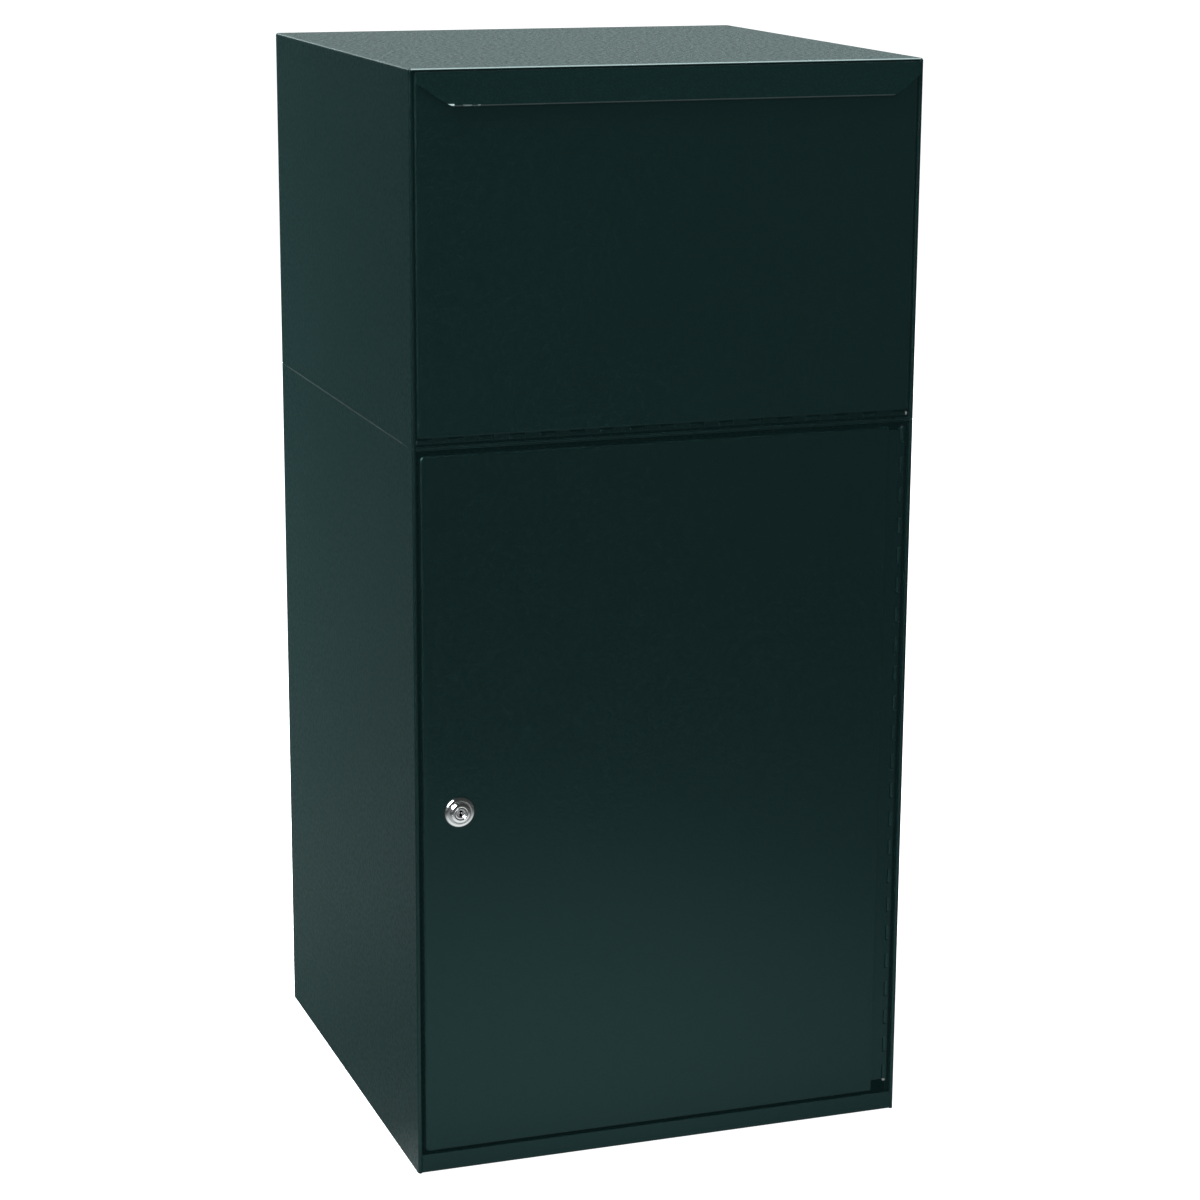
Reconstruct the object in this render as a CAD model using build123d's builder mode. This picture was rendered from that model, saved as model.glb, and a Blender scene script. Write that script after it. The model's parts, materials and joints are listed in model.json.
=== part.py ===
from build123d import *
from math import acos, asin, atan2, cos, degrees, hypot, radians, sin, sqrt
import os

# Steel key drop box: a chest with a hinged, locked service door, and a head on top of it
# with a tip-out hopper. Millimetres. +Z is up, the front faces -Y, and the origin is on the
# ground under the middle of the whole box, with the reach of the hopper's pull counted.

# ---- Cabinet ----
body_width = 434.0
body_depth = 431.8
base_height = 617.0
head_height = 297.4
sheet = 1.5                # body and door steel
bend_radius = 2.0          # outside of a bend
hem_gap = 0.4              # between the two layers of a folded front edge
hem_depth = 14.0
hem_nose_flat = 0.1        # flat left between the nose's two roundings
flange_width = 18.0        # inward flanges of both shells, from the outer face
seam_chamfer = 0.5         # broken edges along the seams
fold_clearance = 0.3       # between folded pieces that pass each other
roof_edge_break = 0.6
roof_flange = 15.0
roof_flange_front = 150.0  # side flanges start behind the baffle

# ---- Floor ----
kick_rail_height = 16.3    # front flange of the floor pan, from the ground
anchor_spacing_x = 300.0
anchor_spacing_y = 300.0
anchor_hole_diameter = 11.0

# ---- Front rails and jambs ----
rail_leg = 18.0            # down legs of the header and the sill
jamb_front_setback = 8.0
latch_jamb_face = 20.6
hinge_jamb_face = 25.0

# ---- Service door ----
door_side_gap = 3.0
door_top_gap = 4.5
door_bottom_gap = 2.5
door_hinge_gap = 14.0      # from the barrel's centre to the door's edge
door_return = 18.0
bumper_height = 4.5
bumper_width = 10.0
bumper_length = 24.0
bumper_inset = 7.6         # centre from the latch jamb's outer face
bumper_clearance = 0.2
bumper_end_inset = 86.0    # middle from the door's ends

# ---- Piano hinges ----
pin_diameter = 3.2
leaf_thickness = 1.5
running_clearance = 0.05   # radial, moving knuckle on pin
knuckle_gap = 0.4
barrel_clearance = 0.4     # leaf edge to the other leaf's knuckles
hinge_end_gap = 1.2
door_hinge_foot_gap = 9.7  # above the rail under the door
door_hinge_head_gap = 5.0  # below the header
door_hinge_knuckles = 7
door_leaf_lap = 26.0
door_leaf_notch = 2.5
hopper_hinge_knuckles = 5
hopper_leaf_width = 24.0
hopper_leaf_trim = 2.2     # plate's ends inside the hopper door's side folds
jamb_leaf_width = 15.0
sill_leaf_width = 16.0

# ---- Hopper ----
hopper_side_gap = 0.8
hopper_top_gap = 0.8
hopper_bottom_gap = 7.5
hopper_return = 12.0
hopper_opening = 42.0      # degrees, closed to fully tipped
cheek_roof_gap = 7.3       # cheeks' radius to the roof, straight above the hinge
cheek_inset = 21.0         # cheek's outer face from the shell's outer face
cheek_flange = 12.0
cheek_flange_end_gap = 12.0
tray_slope = 25.0          # degrees below level when the hopper is closed
tray_rise = 27.0           # tray's heel above the hinge axis
tray_heel_flange = 14.0
baffle_gap = 4.5           # cheeks to baffle
baffle_end = 80.0          # degrees back from upright
baffle_top_flange = 16.0
baffle_stop_gap = 1.6      # top flange to the stop angle
baffle_lip = 14.0
stop_leg = 18.0
stop_top_leg = 12.0
stop_clearance = 0.1       # left between tab and stop when fully tipped
stop_half_width = 188.0
stop_tab_width = 16.0
stop_tab_height = 17.0
stop_bumper_length = 60.0
stop_bumper_height = 10.0
stop_bumper_spacing = 260.0

# ---- Hopper pull ----
lip_reach = 15.0
lip_top_drop = 0.2         # pull's top below the door's top
lip_height = 26.2
lip_land = 9.0
lip_bend_radius = 2.2
lip_end_rise = 19.3        # sloping ends, measured upwards
lip_end_run = 27.0         # and inwards
lip_end_radius = 45.0
lip_edge_radius = 0.6

# ---- Cam lock ----
lock_edge_inset = 31.0     # from the door's latch edge
lock_drop = 1.3            # below the middle of the door
bezel_diameter = 25.6
bezel_thickness = 2.2
face_diameter = 19.0
face_height = 4.7
body_diameter = 19.0
body_hole_clearance = 0.2
plug_diameter = 10.0
keyway_width = 2.6
keyway_height = 5.4
keyway_depth = 12.0
lock_nut_across_flats = 25.0
lock_nut_thickness = 4.0
cam_clearance = 0.3
cam_thickness = 2.5
cam_width = 14.0
cam_reach = 24.0
cam_corner = 3.0
cam_square = 6.0
plug_recess = 0.3
cam_screw_diameter = 4.0
cam_screw_length = 10.0
cam_screw_across_flats = 7.0
cam_screw_head_height = 2.8

# ---- Bolts between base and head ----
bolt_diameter = 6.0
bolt_hole_clearance = 0.6
bolt_inset = 10.0
bolt_length = 12.0
bolt_across_flats = 10.0
bolt_head_height = 4.0
nut_height = 5.0
side_bolt_front = 120.0
side_bolt_rear = 330.0

# ---- Worked out from the sizes above ----
half_width = body_width / 2
front_y = (lip_reach - body_depth) / 2
back_y = front_y + body_depth
total_height = base_height + head_height
hem_thickness = 2 * sheet + hem_gap
hem_nose_radius = (hem_thickness - hem_nose_flat) / 2
clear_half = half_width - hem_thickness
roof_under = total_height - sheet
sill_top = base_height + sheet
header_under = base_height - sheet

barrel_radius = pin_diameter / 2 + leaf_thickness
moving_bore_radius = pin_diameter / 2 + running_clearance

stop_face_y = front_y + door_return + bumper_height + bumper_clearance
rail_back_y = stop_face_y + sheet
rail_flange_front = rail_back_y + 2 * sheet
header_leg_bottom = header_under - rail_leg

door_axis_x = clear_half - sheet - barrel_radius
door_axis_y = front_y + sheet + barrel_radius
door_left = -clear_half + door_side_gap
door_right = door_axis_x - door_hinge_gap
door_bottom = kick_rail_height + door_bottom_gap
door_top = header_under - door_top_gap
door_width = door_right - door_left
door_height = door_top - door_bottom
door_middle_x = (door_left + door_right) / 2
door_middle_z = (door_bottom + door_top) / 2
door_hinge_bottom = kick_rail_height + door_hinge_foot_gap
door_hinge_top = header_under - door_hinge_head_gap
door_hinge_length = door_hinge_top - door_hinge_bottom
door_hinge_middle = (door_hinge_bottom + door_hinge_top) / 2

hopper_axis_y = front_y + sheet + barrel_radius
hopper_axis_z = sill_top + barrel_radius
hopper_half = clear_half - hopper_side_gap
hopper_bottom = sill_top + hopper_bottom_gap
hopper_top = roof_under - hopper_top_gap
hopper_hinge_length = 2 * (clear_half - hinge_end_gap)
cheek_radius = roof_under - hopper_axis_z - cheek_roof_gap
cheek_outer = half_width - cheek_inset
cheek_inner = cheek_outer - sheet
hopper_stop_y = front_y + hopper_return + bumper_height + bumper_clearance
baffle_radius = cheek_radius + baffle_gap

# The baffle's flat runs from its top fold and meets its curve without a kink.
baffle_fold_y = hopper_stop_y + stop_top_leg + baffle_stop_gap + baffle_top_flange
baffle_fold_z = roof_under - sheet
fold_back = baffle_fold_y - hopper_axis_y
fold_rise = baffle_fold_z - hopper_axis_z
baffle_start = degrees(
    atan2(fold_back, fold_rise) + acos(baffle_radius / hypot(fold_back, fold_rise))
)

lock_x = door_left + lock_edge_inset
lock_z = (door_bottom + door_top) / 2 - lock_drop
cam_front_y = rail_back_y + cam_clearance

tipped_back = Location((0, hopper_axis_y, hopper_axis_z), (-hopper_opening, 0, 0))
lock_axis = Axis((lock_x, front_y, lock_z), (0, 1, 0))
front_plane = Plane.XZ.offset(-front_y)
hopper_back_y = front_y + sheet
heel_z = hopper_axis_z + tray_rise

os.makedirs("parts", exist_ok=True)


def save(piece, name):
    """Label a finished piece and write it as its own STEP file."""
    piece.part.label = name
    export_step(piece.part, f"parts/{name}.step")


def polar_point(radius, angle):
    """Point at an angle back from upright about the hopper's hinge, in the YZ plane."""
    turn = radians(angle)
    return (hopper_axis_y + radius * sin(turn), hopper_axis_z + radius * cos(turn))


def folded_strip(plane, points, radii, length, side=Side.LEFT, thickness=sheet):
    """Sheet folded along a path of outside corners and extruded both ways from the plane."""
    with BuildPart() as strip:
        with BuildSketch(plane):
            with BuildLine():
                FilletPolyline(*points, radius=radii)
                offset(amount=thickness, side=side)
            make_face()
        extrude(amount=length / 2, both=True)
    return strip


def shell_walls(bottom, top):
    """Left, back and right walls in one folded sheet, with hemmed front edges."""
    with BuildPart() as walls:
        with BuildSketch(Plane.XY.offset(bottom)) as outline:
            with Locations((0, (front_y + back_y) / 2)):
                Rectangle(body_width, body_depth)
            inner_depth = body_depth - sheet - hem_depth
            with Locations((0, back_y - sheet - inner_depth / 2)):
                Rectangle(body_width - 2 * sheet, inner_depth, mode=Mode.SUBTRACT)
            with Locations((0, front_y + hem_depth / 2)):
                Rectangle(2 * clear_half, hem_depth, mode=Mode.SUBTRACT)
            slot_depth = hem_depth - hem_thickness / 2
            for side in (-1, 1):
                with Locations(
                    (side * (clear_half + hem_thickness / 2), front_y + hem_depth - slot_depth / 2)
                ):
                    Rectangle(hem_gap, slot_depth, mode=Mode.SUBTRACT)
            fillet(outline.vertices().group_by(Axis.Y)[-2], bend_radius - sheet)
            fillet(outline.vertices().group_by(Axis.Y)[-1], bend_radius)
            fillet(outline.vertices().group_by(Axis.Y)[0], hem_nose_radius)
        extrude(amount=top - bottom)
    return walls


def flange_ring(bottom, front):
    """Inward flanges along the left, back and right walls of a shell."""
    rear = back_y - sheet / 2
    inner_rear = back_y - flange_width
    with BuildSketch(Plane.XY.offset(bottom)) as ring:
        with Locations((0, (front + rear) / 2)):
            Rectangle(body_width - sheet, rear - front)
        with Locations((0, (front + inner_rear) / 2)):
            Rectangle(
                body_width - 2 * flange_width,
                inner_rear - front,
                mode=Mode.SUBTRACT,
            )
    return ring.sketch


def bolt_places():
    """Plan positions of the bolts that hold the head to the base, two on each side."""
    x = half_width - bolt_inset
    rows = (front_y + side_bolt_front, front_y + side_bolt_rear)
    return [(side * x, y) for side in (-1, 1) for y in rows]


def outer_edges(piece, height):
    """Edges of a shell's outside face at one height."""
    found = []
    for edge in piece.edges().group_by(Axis.Z)[-1 if height > piece.center().Z else 0]:
        middle = edge @ 0.5
        outside = abs(middle.X) > half_width - sheet / 2 or middle.Y > back_y - sheet / 2
        if outside and edge.length > hem_depth:
            found.append(edge)
    return found


def tray_tip():
    """Where the tray's underside meets the cheeks' radius, in the YZ plane."""
    fall = (cos(radians(tray_slope)), -sin(radians(tray_slope)))
    heel = (hopper_back_y - hopper_axis_y, heel_z - hopper_axis_z)
    along = heel[0] * fall[0] + heel[1] * fall[1]
    across = heel[0] ** 2 + heel[1] ** 2 - along**2
    reach = sqrt(cheek_radius**2 - across) - along
    return (hopper_back_y + reach * fall[0], heel_z + reach * fall[1])


def hex_prism(places, across_flats, height, bore=0.0, plane=Plane.XY):
    """Hexagonal heads or nuts at several places on one plane."""
    with BuildPart() as prisms:
        with BuildSketch(plane):
            with Locations(*places):
                RegularPolygon(across_flats / 2, 6, major_radius=False)
                if bore:
                    Circle(bore / 2, mode=Mode.SUBTRACT)
        extrude(amount=height)
    return prisms


def hinge_leaf(plane, length, knuckles, moving, width, plate_trim=0.0):
    """Leaf of a piano hinge.

    The pin lies along the plane's z axis, the leaf runs along its x axis, and the leaf's
    face is tangent to the barrel on the -y side. The fixed leaf has the end knuckles.
    """
    pitch = length / knuckles
    first = 1 if moving else 0
    middles = [pitch * (n + 0.5) - length / 2 for n in range(first, knuckles, 2)]
    bore = moving_bore_radius if moving else pin_diameter / 2
    plate_start = barrel_radius + barrel_clearance
    leaf_y = leaf_thickness / 2 - barrel_radius
    knuckle = pitch - knuckle_gap
    with BuildPart(plane) as leaf:
        with Locations(((plate_start + width) / 2, leaf_y, 0)):
            Box(width - plate_start, leaf_thickness, length - 2 * plate_trim)
        with Locations(*[(0, 0, z) for z in middles]):
            Cylinder(barrel_radius, knuckle)
        with Locations(*[(plate_start / 2, leaf_y, z) for z in middles]):
            Box(plate_start, leaf_thickness, knuckle)
        Cylinder(bore, length, mode=Mode.SUBTRACT)
    return leaf


def hinge_pin(plane, length):
    """Pin of a piano hinge, staked in the end knuckles."""
    with BuildPart(plane) as pin:
        Cylinder(pin_diameter / 2, length - knuckle_gap)
    return pin


def hopper_cheek(side):
    """Side plate of the hopper, with a weld flange at the door and a tab for the stop."""
    centre = (hopper_axis_y, hopper_axis_z)
    tip = tray_tip()
    tip_angle = degrees(asin((tip[1] - hopper_axis_z) / cheek_radius))
    front_rise = sqrt(cheek_radius**2 - (hopper_back_y - hopper_axis_y) ** 2)
    front_angle = 90 + degrees(asin((hopper_axis_y - hopper_back_y) / cheek_radius))
    flange_length = hopper_axis_z + front_rise - heel_z - 2 * cheek_flange_end_gap
    flange_middle = (hopper_axis_z + front_rise + heel_z) / 2
    tab_back = hopper_stop_y + 2 * sheet + stop_clearance - hopper_axis_y
    tab_top = sqrt(cheek_radius**2 - tab_back**2)
    with BuildPart() as cheek:
        with BuildSketch(Plane.YZ.offset(side * cheek_inner)):
            with BuildLine():
                rim = CenterArc(centre, cheek_radius, tip_angle, front_angle - tip_angle)
                Line(rim @ 1, (hopper_back_y, heel_z))
                Line((hopper_back_y, heel_z), rim @ 0)
            make_face()
        extrude(amount=side * sheet)
        with Locations(
            (
                side * (cheek_inner + (sheet + cheek_flange) / 2),
                hopper_back_y + sheet / 2,
                flange_middle,
            )
        ):
            Box(sheet + cheek_flange, sheet, flange_length)
        with Locations(
            tipped_back
            * Location(
                (
                    side * (cheek_inner - stop_tab_width / 2),
                    tab_back - sheet / 2,
                    tab_top - stop_tab_height / 2,
                )
            )
        ):
            Box(stop_tab_width, sheet, stop_tab_height)
    return cheek


# ---- Base ----

with BuildPart() as base_shell:
    add(shell_walls(0, base_height).part)
    extrude(flange_ring(sheet, front_y + bend_radius + fold_clearance), amount=sheet)
    extrude(flange_ring(header_under, rail_flange_front), amount=sheet)
    chamfer(outer_edges(base_shell.part, base_height), length=seam_chamfer)
    with Locations(*[(x, y, header_under) for x, y in bolt_places()]):
        Cylinder((bolt_diameter + bolt_hole_clearance) / 2, 4 * sheet, mode=Mode.SUBTRACT)
save(base_shell, "base_shell")

# Pan under the bottom flanges. Its front flange is the rail under the door.
with BuildPart() as floor_pan:
    add(
        folded_strip(
            Plane.YZ,
            [
                (front_y, kick_rail_height),
                (front_y, 0),
                (back_y - sheet - fold_clearance, 0),
            ],
            bend_radius,
            2 * clear_half,
        ).part
    )
    with BuildSketch(Plane.XY):
        with Locations((0, (front_y + back_y) / 2)):
            with GridLocations(anchor_spacing_x, anchor_spacing_y, 2, 2):
                Circle(anchor_hole_diameter / 2)
    extrude(amount=sheet, mode=Mode.SUBTRACT)
save(floor_pan, "floor_pan")

with BuildPart() as base_header:
    add(
        folded_strip(
            Plane.YZ,
            [
                (front_y, base_height),
                (rail_back_y, base_height),
                (rail_back_y, header_leg_bottom),
            ],
            bend_radius,
            2 * clear_half,
            Side.RIGHT,
        ).part
    )
    leg_cut = hinge_jamb_face + fold_clearance
    for side in (-1, 1):
        with Locations(
            (
                side * (clear_half - leg_cut / 2),
                stop_face_y,
                header_under - rail_leg / 2,
            )
        ):
            Box(leg_cut, 2 * (sheet + bend_radius), rail_leg, mode=Mode.SUBTRACT)
save(base_header, "base_header")

jamb_height = header_under - 2 * sheet
jamb_plane = Plane.XY.offset(2 * sheet + jamb_height / 2)

latch_jamb = folded_strip(
    jamb_plane,
    [
        (-clear_half, front_y + jamb_front_setback),
        (-clear_half, rail_back_y),
        (latch_jamb_face - clear_half, rail_back_y),
    ],
    bend_radius,
    jamb_height,
    Side.RIGHT,
)
save(latch_jamb, "latch_jamb")

hinge_jamb = folded_strip(
    jamb_plane,
    [
        (clear_half, front_y + jamb_front_setback),
        (clear_half, rail_back_y),
        (clear_half - hinge_jamb_face, rail_back_y),
    ],
    bend_radius,
    jamb_height,
    Side.LEFT,
)
save(hinge_jamb, "hinge_jamb")

# ---- Head ----

with BuildPart() as head_shell:
    add(shell_walls(base_height, roof_under).part)
    extrude(flange_ring(base_height, rail_flange_front), amount=sheet)
    chamfer(outer_edges(head_shell.part, base_height), length=seam_chamfer)
    with Locations(*[(x, y, base_height) for x, y in bolt_places()]):
        Cylinder((bolt_diameter + bolt_hole_clearance) / 2, 4 * sheet, mode=Mode.SUBTRACT)
save(head_shell, "head_shell")

with BuildPart() as roof_panel:
    with BuildSketch(Plane.XY.offset(roof_under)) as roof_plan:
        with Locations((0, (front_y + back_y) / 2)):
            Rectangle(body_width, body_depth)
        fillet(roof_plan.vertices(), bend_radius)
    extrude(amount=sheet)
    chamfer(roof_panel.edges().group_by(Axis.Z)[0], length=seam_chamfer)
    chamfer(roof_panel.edges().group_by(Axis.Z)[-1], length=roof_edge_break)
    flange_run = back_y - sheet - bend_radius - front_y - roof_flange_front
    with BuildSketch(Plane.XY.offset(roof_under)):
        for side in (-1, 1):
            with Locations(
                (
                    side * (half_width - 1.5 * sheet),
                    front_y + roof_flange_front + flange_run / 2,
                )
            ):
                Rectangle(sheet, flange_run)
        with Locations((0, back_y - 1.5 * sheet)):
            Rectangle(body_width - 2 * (sheet + bend_radius), sheet)
    extrude(amount=-roof_flange)
save(roof_panel, "roof_panel")

sill_back_y = rail_back_y + sheet

head_sill = folded_strip(
    Plane.YZ,
    [
        (front_y, sill_top),
        (sill_back_y, sill_top),
        (sill_back_y, base_height - rail_leg),
    ],
    bend_radius,
    2 * clear_half,
    Side.RIGHT,
)
save(head_sill, "head_sill")

# Angle under the roof that the closed door and the tipped cheeks both come up against.
hopper_stop = folded_strip(
    Plane.YZ,
    [
        (hopper_stop_y, roof_under - stop_leg),
        (hopper_stop_y, roof_under),
        (hopper_stop_y + stop_top_leg, roof_under),
    ],
    bend_radius,
    2 * stop_half_width,
    Side.RIGHT,
)
save(hopper_stop, "hopper_stop")

# Curved guard behind the cheeks, struck from the hopper's hinge axis.
with BuildPart() as hopper_baffle:
    arc_start = polar_point(baffle_radius, baffle_start)
    arc_end = polar_point(baffle_radius, baffle_end)
    hinge_centre = (hopper_axis_y, hopper_axis_z)
    sweep_angle = baffle_end - baffle_start
    with BuildSketch(Plane.YZ):
        with BuildLine():
            Polyline(
                (baffle_fold_y - baffle_top_flange, baffle_fold_z),
                (baffle_fold_y, baffle_fold_z),
                arc_start,
            )
            CenterArc(hinge_centre, baffle_radius, 90 - baffle_start, -sweep_angle)
            Line(arc_end, (arc_end[0] + baffle_lip, arc_end[1]))
            offset(amount=sheet, side=Side.LEFT)
        make_face()
    extrude(amount=half_width - sheet, both=True)
save(hopper_baffle, "hopper_baffle")

# ---- Fixings and bumpers ----

with BuildPart() as head_bolts:
    add(
        hex_prism(
            bolt_places(), bolt_across_flats, bolt_head_height, plane=Plane.XY.offset(sill_top)
        ).part
    )
    with BuildSketch(Plane.XY.offset(sill_top)):
        with Locations(*bolt_places()):
            Circle(bolt_diameter / 2)
    extrude(amount=-bolt_length)
save(head_bolts, "head_bolts")

head_nuts = hex_prism(
    bolt_places(),
    bolt_across_flats,
    -nut_height,
    bolt_diameter,
    Plane.XY.offset(header_under),
)
save(head_nuts, "head_nuts")

with BuildPart() as hopper_bumpers:
    bumper_top = roof_under - hopper_top_gap / 2
    with Locations((0, hopper_stop_y - bumper_height / 2, bumper_top - stop_bumper_height / 2)):
        with GridLocations(stop_bumper_spacing, 1, 2, 1):
            Box(stop_bumper_length, bumper_height, stop_bumper_height)
save(hopper_bumpers, "hopper_bumpers")

with BuildPart() as door_bumpers:
    for end in (-1, 1):
        with Locations(
            (
                bumper_inset - clear_half,
                stop_face_y - bumper_height / 2,
                door_middle_z + end * (door_height / 2 - bumper_end_inset),
            )
        ):
            Box(bumper_width, bumper_height, bumper_length)
save(door_bumpers, "door_bumpers")

# ---- Hinges ----
# Each leaf's plane has x along the leaf and y away from the face that lies on the steel.

hopper_leaf_plane = Plane((0, hopper_axis_y, hopper_axis_z), x_dir=(0, 0, 1), z_dir=(-1, 0, 0))
sill_leaf_plane = Plane((0, hopper_axis_y, hopper_axis_z), x_dir=(0, 1, 0), z_dir=(1, 0, 0))
door_axis_point = (door_axis_x, door_axis_y, door_hinge_middle)
door_leaf_plane = Plane(door_axis_point, x_dir=(-1, 0, 0), z_dir=(0, 0, -1))
jamb_leaf_plane = Plane(door_axis_point, x_dir=(0, 1, 0), z_dir=(0, 0, 1))

hopper_hinge_sill_leaf = hinge_leaf(
    sill_leaf_plane, hopper_hinge_length, hopper_hinge_knuckles, False, sill_leaf_width
)
save(hopper_hinge_sill_leaf, "hopper_hinge_sill_leaf")

hopper_hinge_door_leaf = hinge_leaf(
    hopper_leaf_plane,
    hopper_hinge_length,
    hopper_hinge_knuckles,
    True,
    hopper_leaf_width,
    hopper_leaf_trim,
)
save(hopper_hinge_door_leaf, "hopper_hinge_door_leaf")

hopper_hinge_pin = hinge_pin(sill_leaf_plane, hopper_hinge_length)
save(hopper_hinge_pin, "hopper_hinge_pin")

door_hinge_jamb_leaf = hinge_leaf(
    jamb_leaf_plane, door_hinge_length, door_hinge_knuckles, False, jamb_leaf_width
)
save(door_hinge_jamb_leaf, "door_hinge_jamb_leaf")

door_hinge_door_leaf = hinge_leaf(
    door_leaf_plane,
    door_hinge_length,
    door_hinge_knuckles,
    True,
    door_hinge_gap + door_leaf_lap,
    door_leaf_notch,
)
save(door_hinge_door_leaf, "door_hinge_door_leaf")

door_hinge_pin = hinge_pin(jamb_leaf_plane, door_hinge_length)
save(door_hinge_pin, "door_hinge_pin")

# ---- Hopper ----

hopper_middle_z = (hopper_bottom + hopper_top) / 2
hopper_height = hopper_top - hopper_bottom

with BuildPart() as hopper_hollow:
    with BuildSketch(Plane.XZ.offset(-hopper_back_y)):
        with Locations((0, hopper_middle_z - sheet)):
            Rectangle(2 * (hopper_half - sheet), hopper_height)
    extrude(amount=-hopper_return)
    fillet(hopper_hollow.edges().group_by(Axis.Y)[0].sort_by(Axis.Z)[1:], bend_radius - sheet)

# Folded on both sides and the top. The bottom stays flat for the hinge leaf.
with BuildPart() as hopper_door:
    with BuildSketch(front_plane) as hopper_outline:
        with Locations((0, hopper_middle_z)):
            Rectangle(2 * hopper_half, hopper_height)
        fillet(hopper_outline.vertices().group_by(Axis.Y)[-1], bend_radius)
    extrude(amount=-hopper_return)
    fillet(hopper_door.edges().group_by(Axis.Y)[0].sort_by(Axis.Z)[1:], bend_radius)
    add(hopper_hollow.part, mode=Mode.SUBTRACT)
save(hopper_door, "hopper_door")

# Folded pull along the door's top edge, with sloping ends. Its flap is tangent to the bend
# and to the rounding of its lower edge, which is what stands furthest out.
with BuildPart() as hopper_pull:
    lip_top = hopper_top - lip_top_drop
    bend_z = lip_top - lip_bend_radius
    tip_y = front_y - lip_reach + lip_edge_radius
    tip_z = lip_top - lip_height + lip_edge_radius
    out = front_y - lip_bend_radius - tip_y
    span = sqrt(out**2 + (bend_z - tip_z) ** 2)
    tilt = asin(out / span) - asin((lip_bend_radius - lip_edge_radius) / span)
    corner_y = tip_y - lip_edge_radius * (cos(tilt) + sin(tilt))
    corner_z = tip_z - lip_edge_radius * (cos(tilt) - sin(tilt))
    with BuildSketch(Plane.YZ):
        with BuildLine():
            Line((front_y, bend_z - lip_land), (front_y, bend_z))
            bend = CenterArc(
                (front_y - lip_bend_radius, bend_z), lip_bend_radius, 0, 180 - degrees(tilt)
            )
            Line(bend @ 1, (corner_y, corner_z))
            offset(amount=sheet, side=Side.LEFT)
        make_face()
    extrude(amount=hopper_half, both=True)
    long_edges = hopper_pull.edges().filter_by(Axis.X)
    fillet(long_edges.group_by(Axis.Z)[0] + long_edges.sort_by(Axis.Y)[0:1], lip_edge_radius)
    with BuildSketch(front_plane) as pull_outline:
        with BuildLine():
            end_z = lip_top - lip_height - sheet
            end_x = hopper_half - lip_end_run
            Polyline(
                (-end_x, end_z),
                (end_x, end_z),
                (hopper_half, end_z + lip_end_rise),
                (hopper_half, lip_top + sheet),
                (-hopper_half, lip_top + sheet),
                (-hopper_half, end_z + lip_end_rise),
                close=True,
            )
        make_face()
        fillet(pull_outline.vertices().group_by(Axis.Y)[0], lip_end_radius)
    extrude(amount=2 * lip_reach, both=True, mode=Mode.INTERSECT)
save(hopper_pull, "hopper_pull")

save(hopper_cheek(-1), "hopper_cheek_left")
save(hopper_cheek(1), "hopper_cheek_right")

hopper_tray = folded_strip(
    Plane.YZ,
    [(hopper_back_y, heel_z + tray_heel_flange), (hopper_back_y, heel_z), tray_tip()],
    bend_radius,
    2 * cheek_inner,
    Side.LEFT,
)
save(hopper_tray, "hopper_tray")

# ---- Service door ----

with BuildPart() as door_hollow:
    with BuildSketch(Plane.XZ.offset(-hopper_back_y)):
        with Locations((door_middle_x + sheet, door_middle_z)):
            Rectangle(door_width, door_height - 2 * sheet)
    extrude(amount=-door_return)
    fillet(door_hollow.edges().group_by(Axis.Y)[0].sort_by(Axis.X)[:-1], bend_radius - sheet)

# Folded on the left, top and bottom. The hinge side stays flat for the hinge leaf.
with BuildPart() as service_door:
    with BuildSketch(front_plane) as door_outline:
        with Locations((door_middle_x, door_middle_z)):
            Rectangle(door_width, door_height)
        fillet(door_outline.vertices().group_by(Axis.X)[0], bend_radius)
    extrude(amount=-door_return)
    fillet(service_door.edges().group_by(Axis.Y)[0].sort_by(Axis.X)[:-1], bend_radius)
    add(door_hollow.part, mode=Mode.SUBTRACT)
    with BuildSketch(front_plane):
        with Locations((lock_x, lock_z)):
            Circle((body_diameter + body_hole_clearance) / 2)
    extrude(amount=-2 * sheet, mode=Mode.SUBTRACT)
save(service_door, "service_door")

# ---- Lock ----

with BuildPart() as lock_housing:
    bore = plug_diameter / 2 + running_clearance
    bezel = bezel_diameter / 2
    face = face_diameter / 2
    body = body_diameter / 2
    back = cam_front_y - bumper_clearance - front_y
    with BuildSketch(Plane((lock_x, front_y, lock_z), x_dir=(1, 0, 0), z_dir=(0, 0, 1))):
        with BuildLine():
            Polyline(
                (bore, -face_height),
                (face, -face_height),
                (face, -bezel_thickness),
                (bezel, -bezel_thickness),
                (bezel, 0),
                (body, 0),
                (body, back),
                (bore, back),
                close=True,
            )
        make_face()
    revolve(axis=lock_axis)
save(lock_housing, "lock_housing")

lock_nut = hex_prism(
    [(lock_x, lock_z)],
    lock_nut_across_flats,
    -lock_nut_thickness,
    body_diameter,
    Plane.XZ.offset(-hopper_back_y),
)
save(lock_nut, "lock_nut")

with BuildPart() as lock_plug:
    plug_face_y = front_y - face_height + plug_recess
    with BuildSketch(Plane.XZ.offset(-plug_face_y)):
        with Locations((lock_x, lock_z)):
            Circle(plug_diameter / 2)
    extrude(amount=plug_face_y - cam_front_y)
    with BuildSketch(Plane.XZ.offset(-cam_front_y)):
        with Locations((lock_x, lock_z)):
            Rectangle(cam_square, cam_square)
    extrude(amount=-cam_thickness)
    with BuildSketch(Plane.XZ.offset(-plug_face_y)):
        with Locations((lock_x, lock_z)):
            Rectangle(keyway_width, keyway_height)
    extrude(amount=-keyway_depth, mode=Mode.SUBTRACT)
    with BuildSketch(Plane.XZ.offset(-(cam_front_y + cam_thickness))):
        with Locations((lock_x, lock_z)):
            Circle(cam_screw_diameter / 2)
    extrude(amount=cam_screw_length, mode=Mode.SUBTRACT)
save(lock_plug, "lock_plug")

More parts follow.
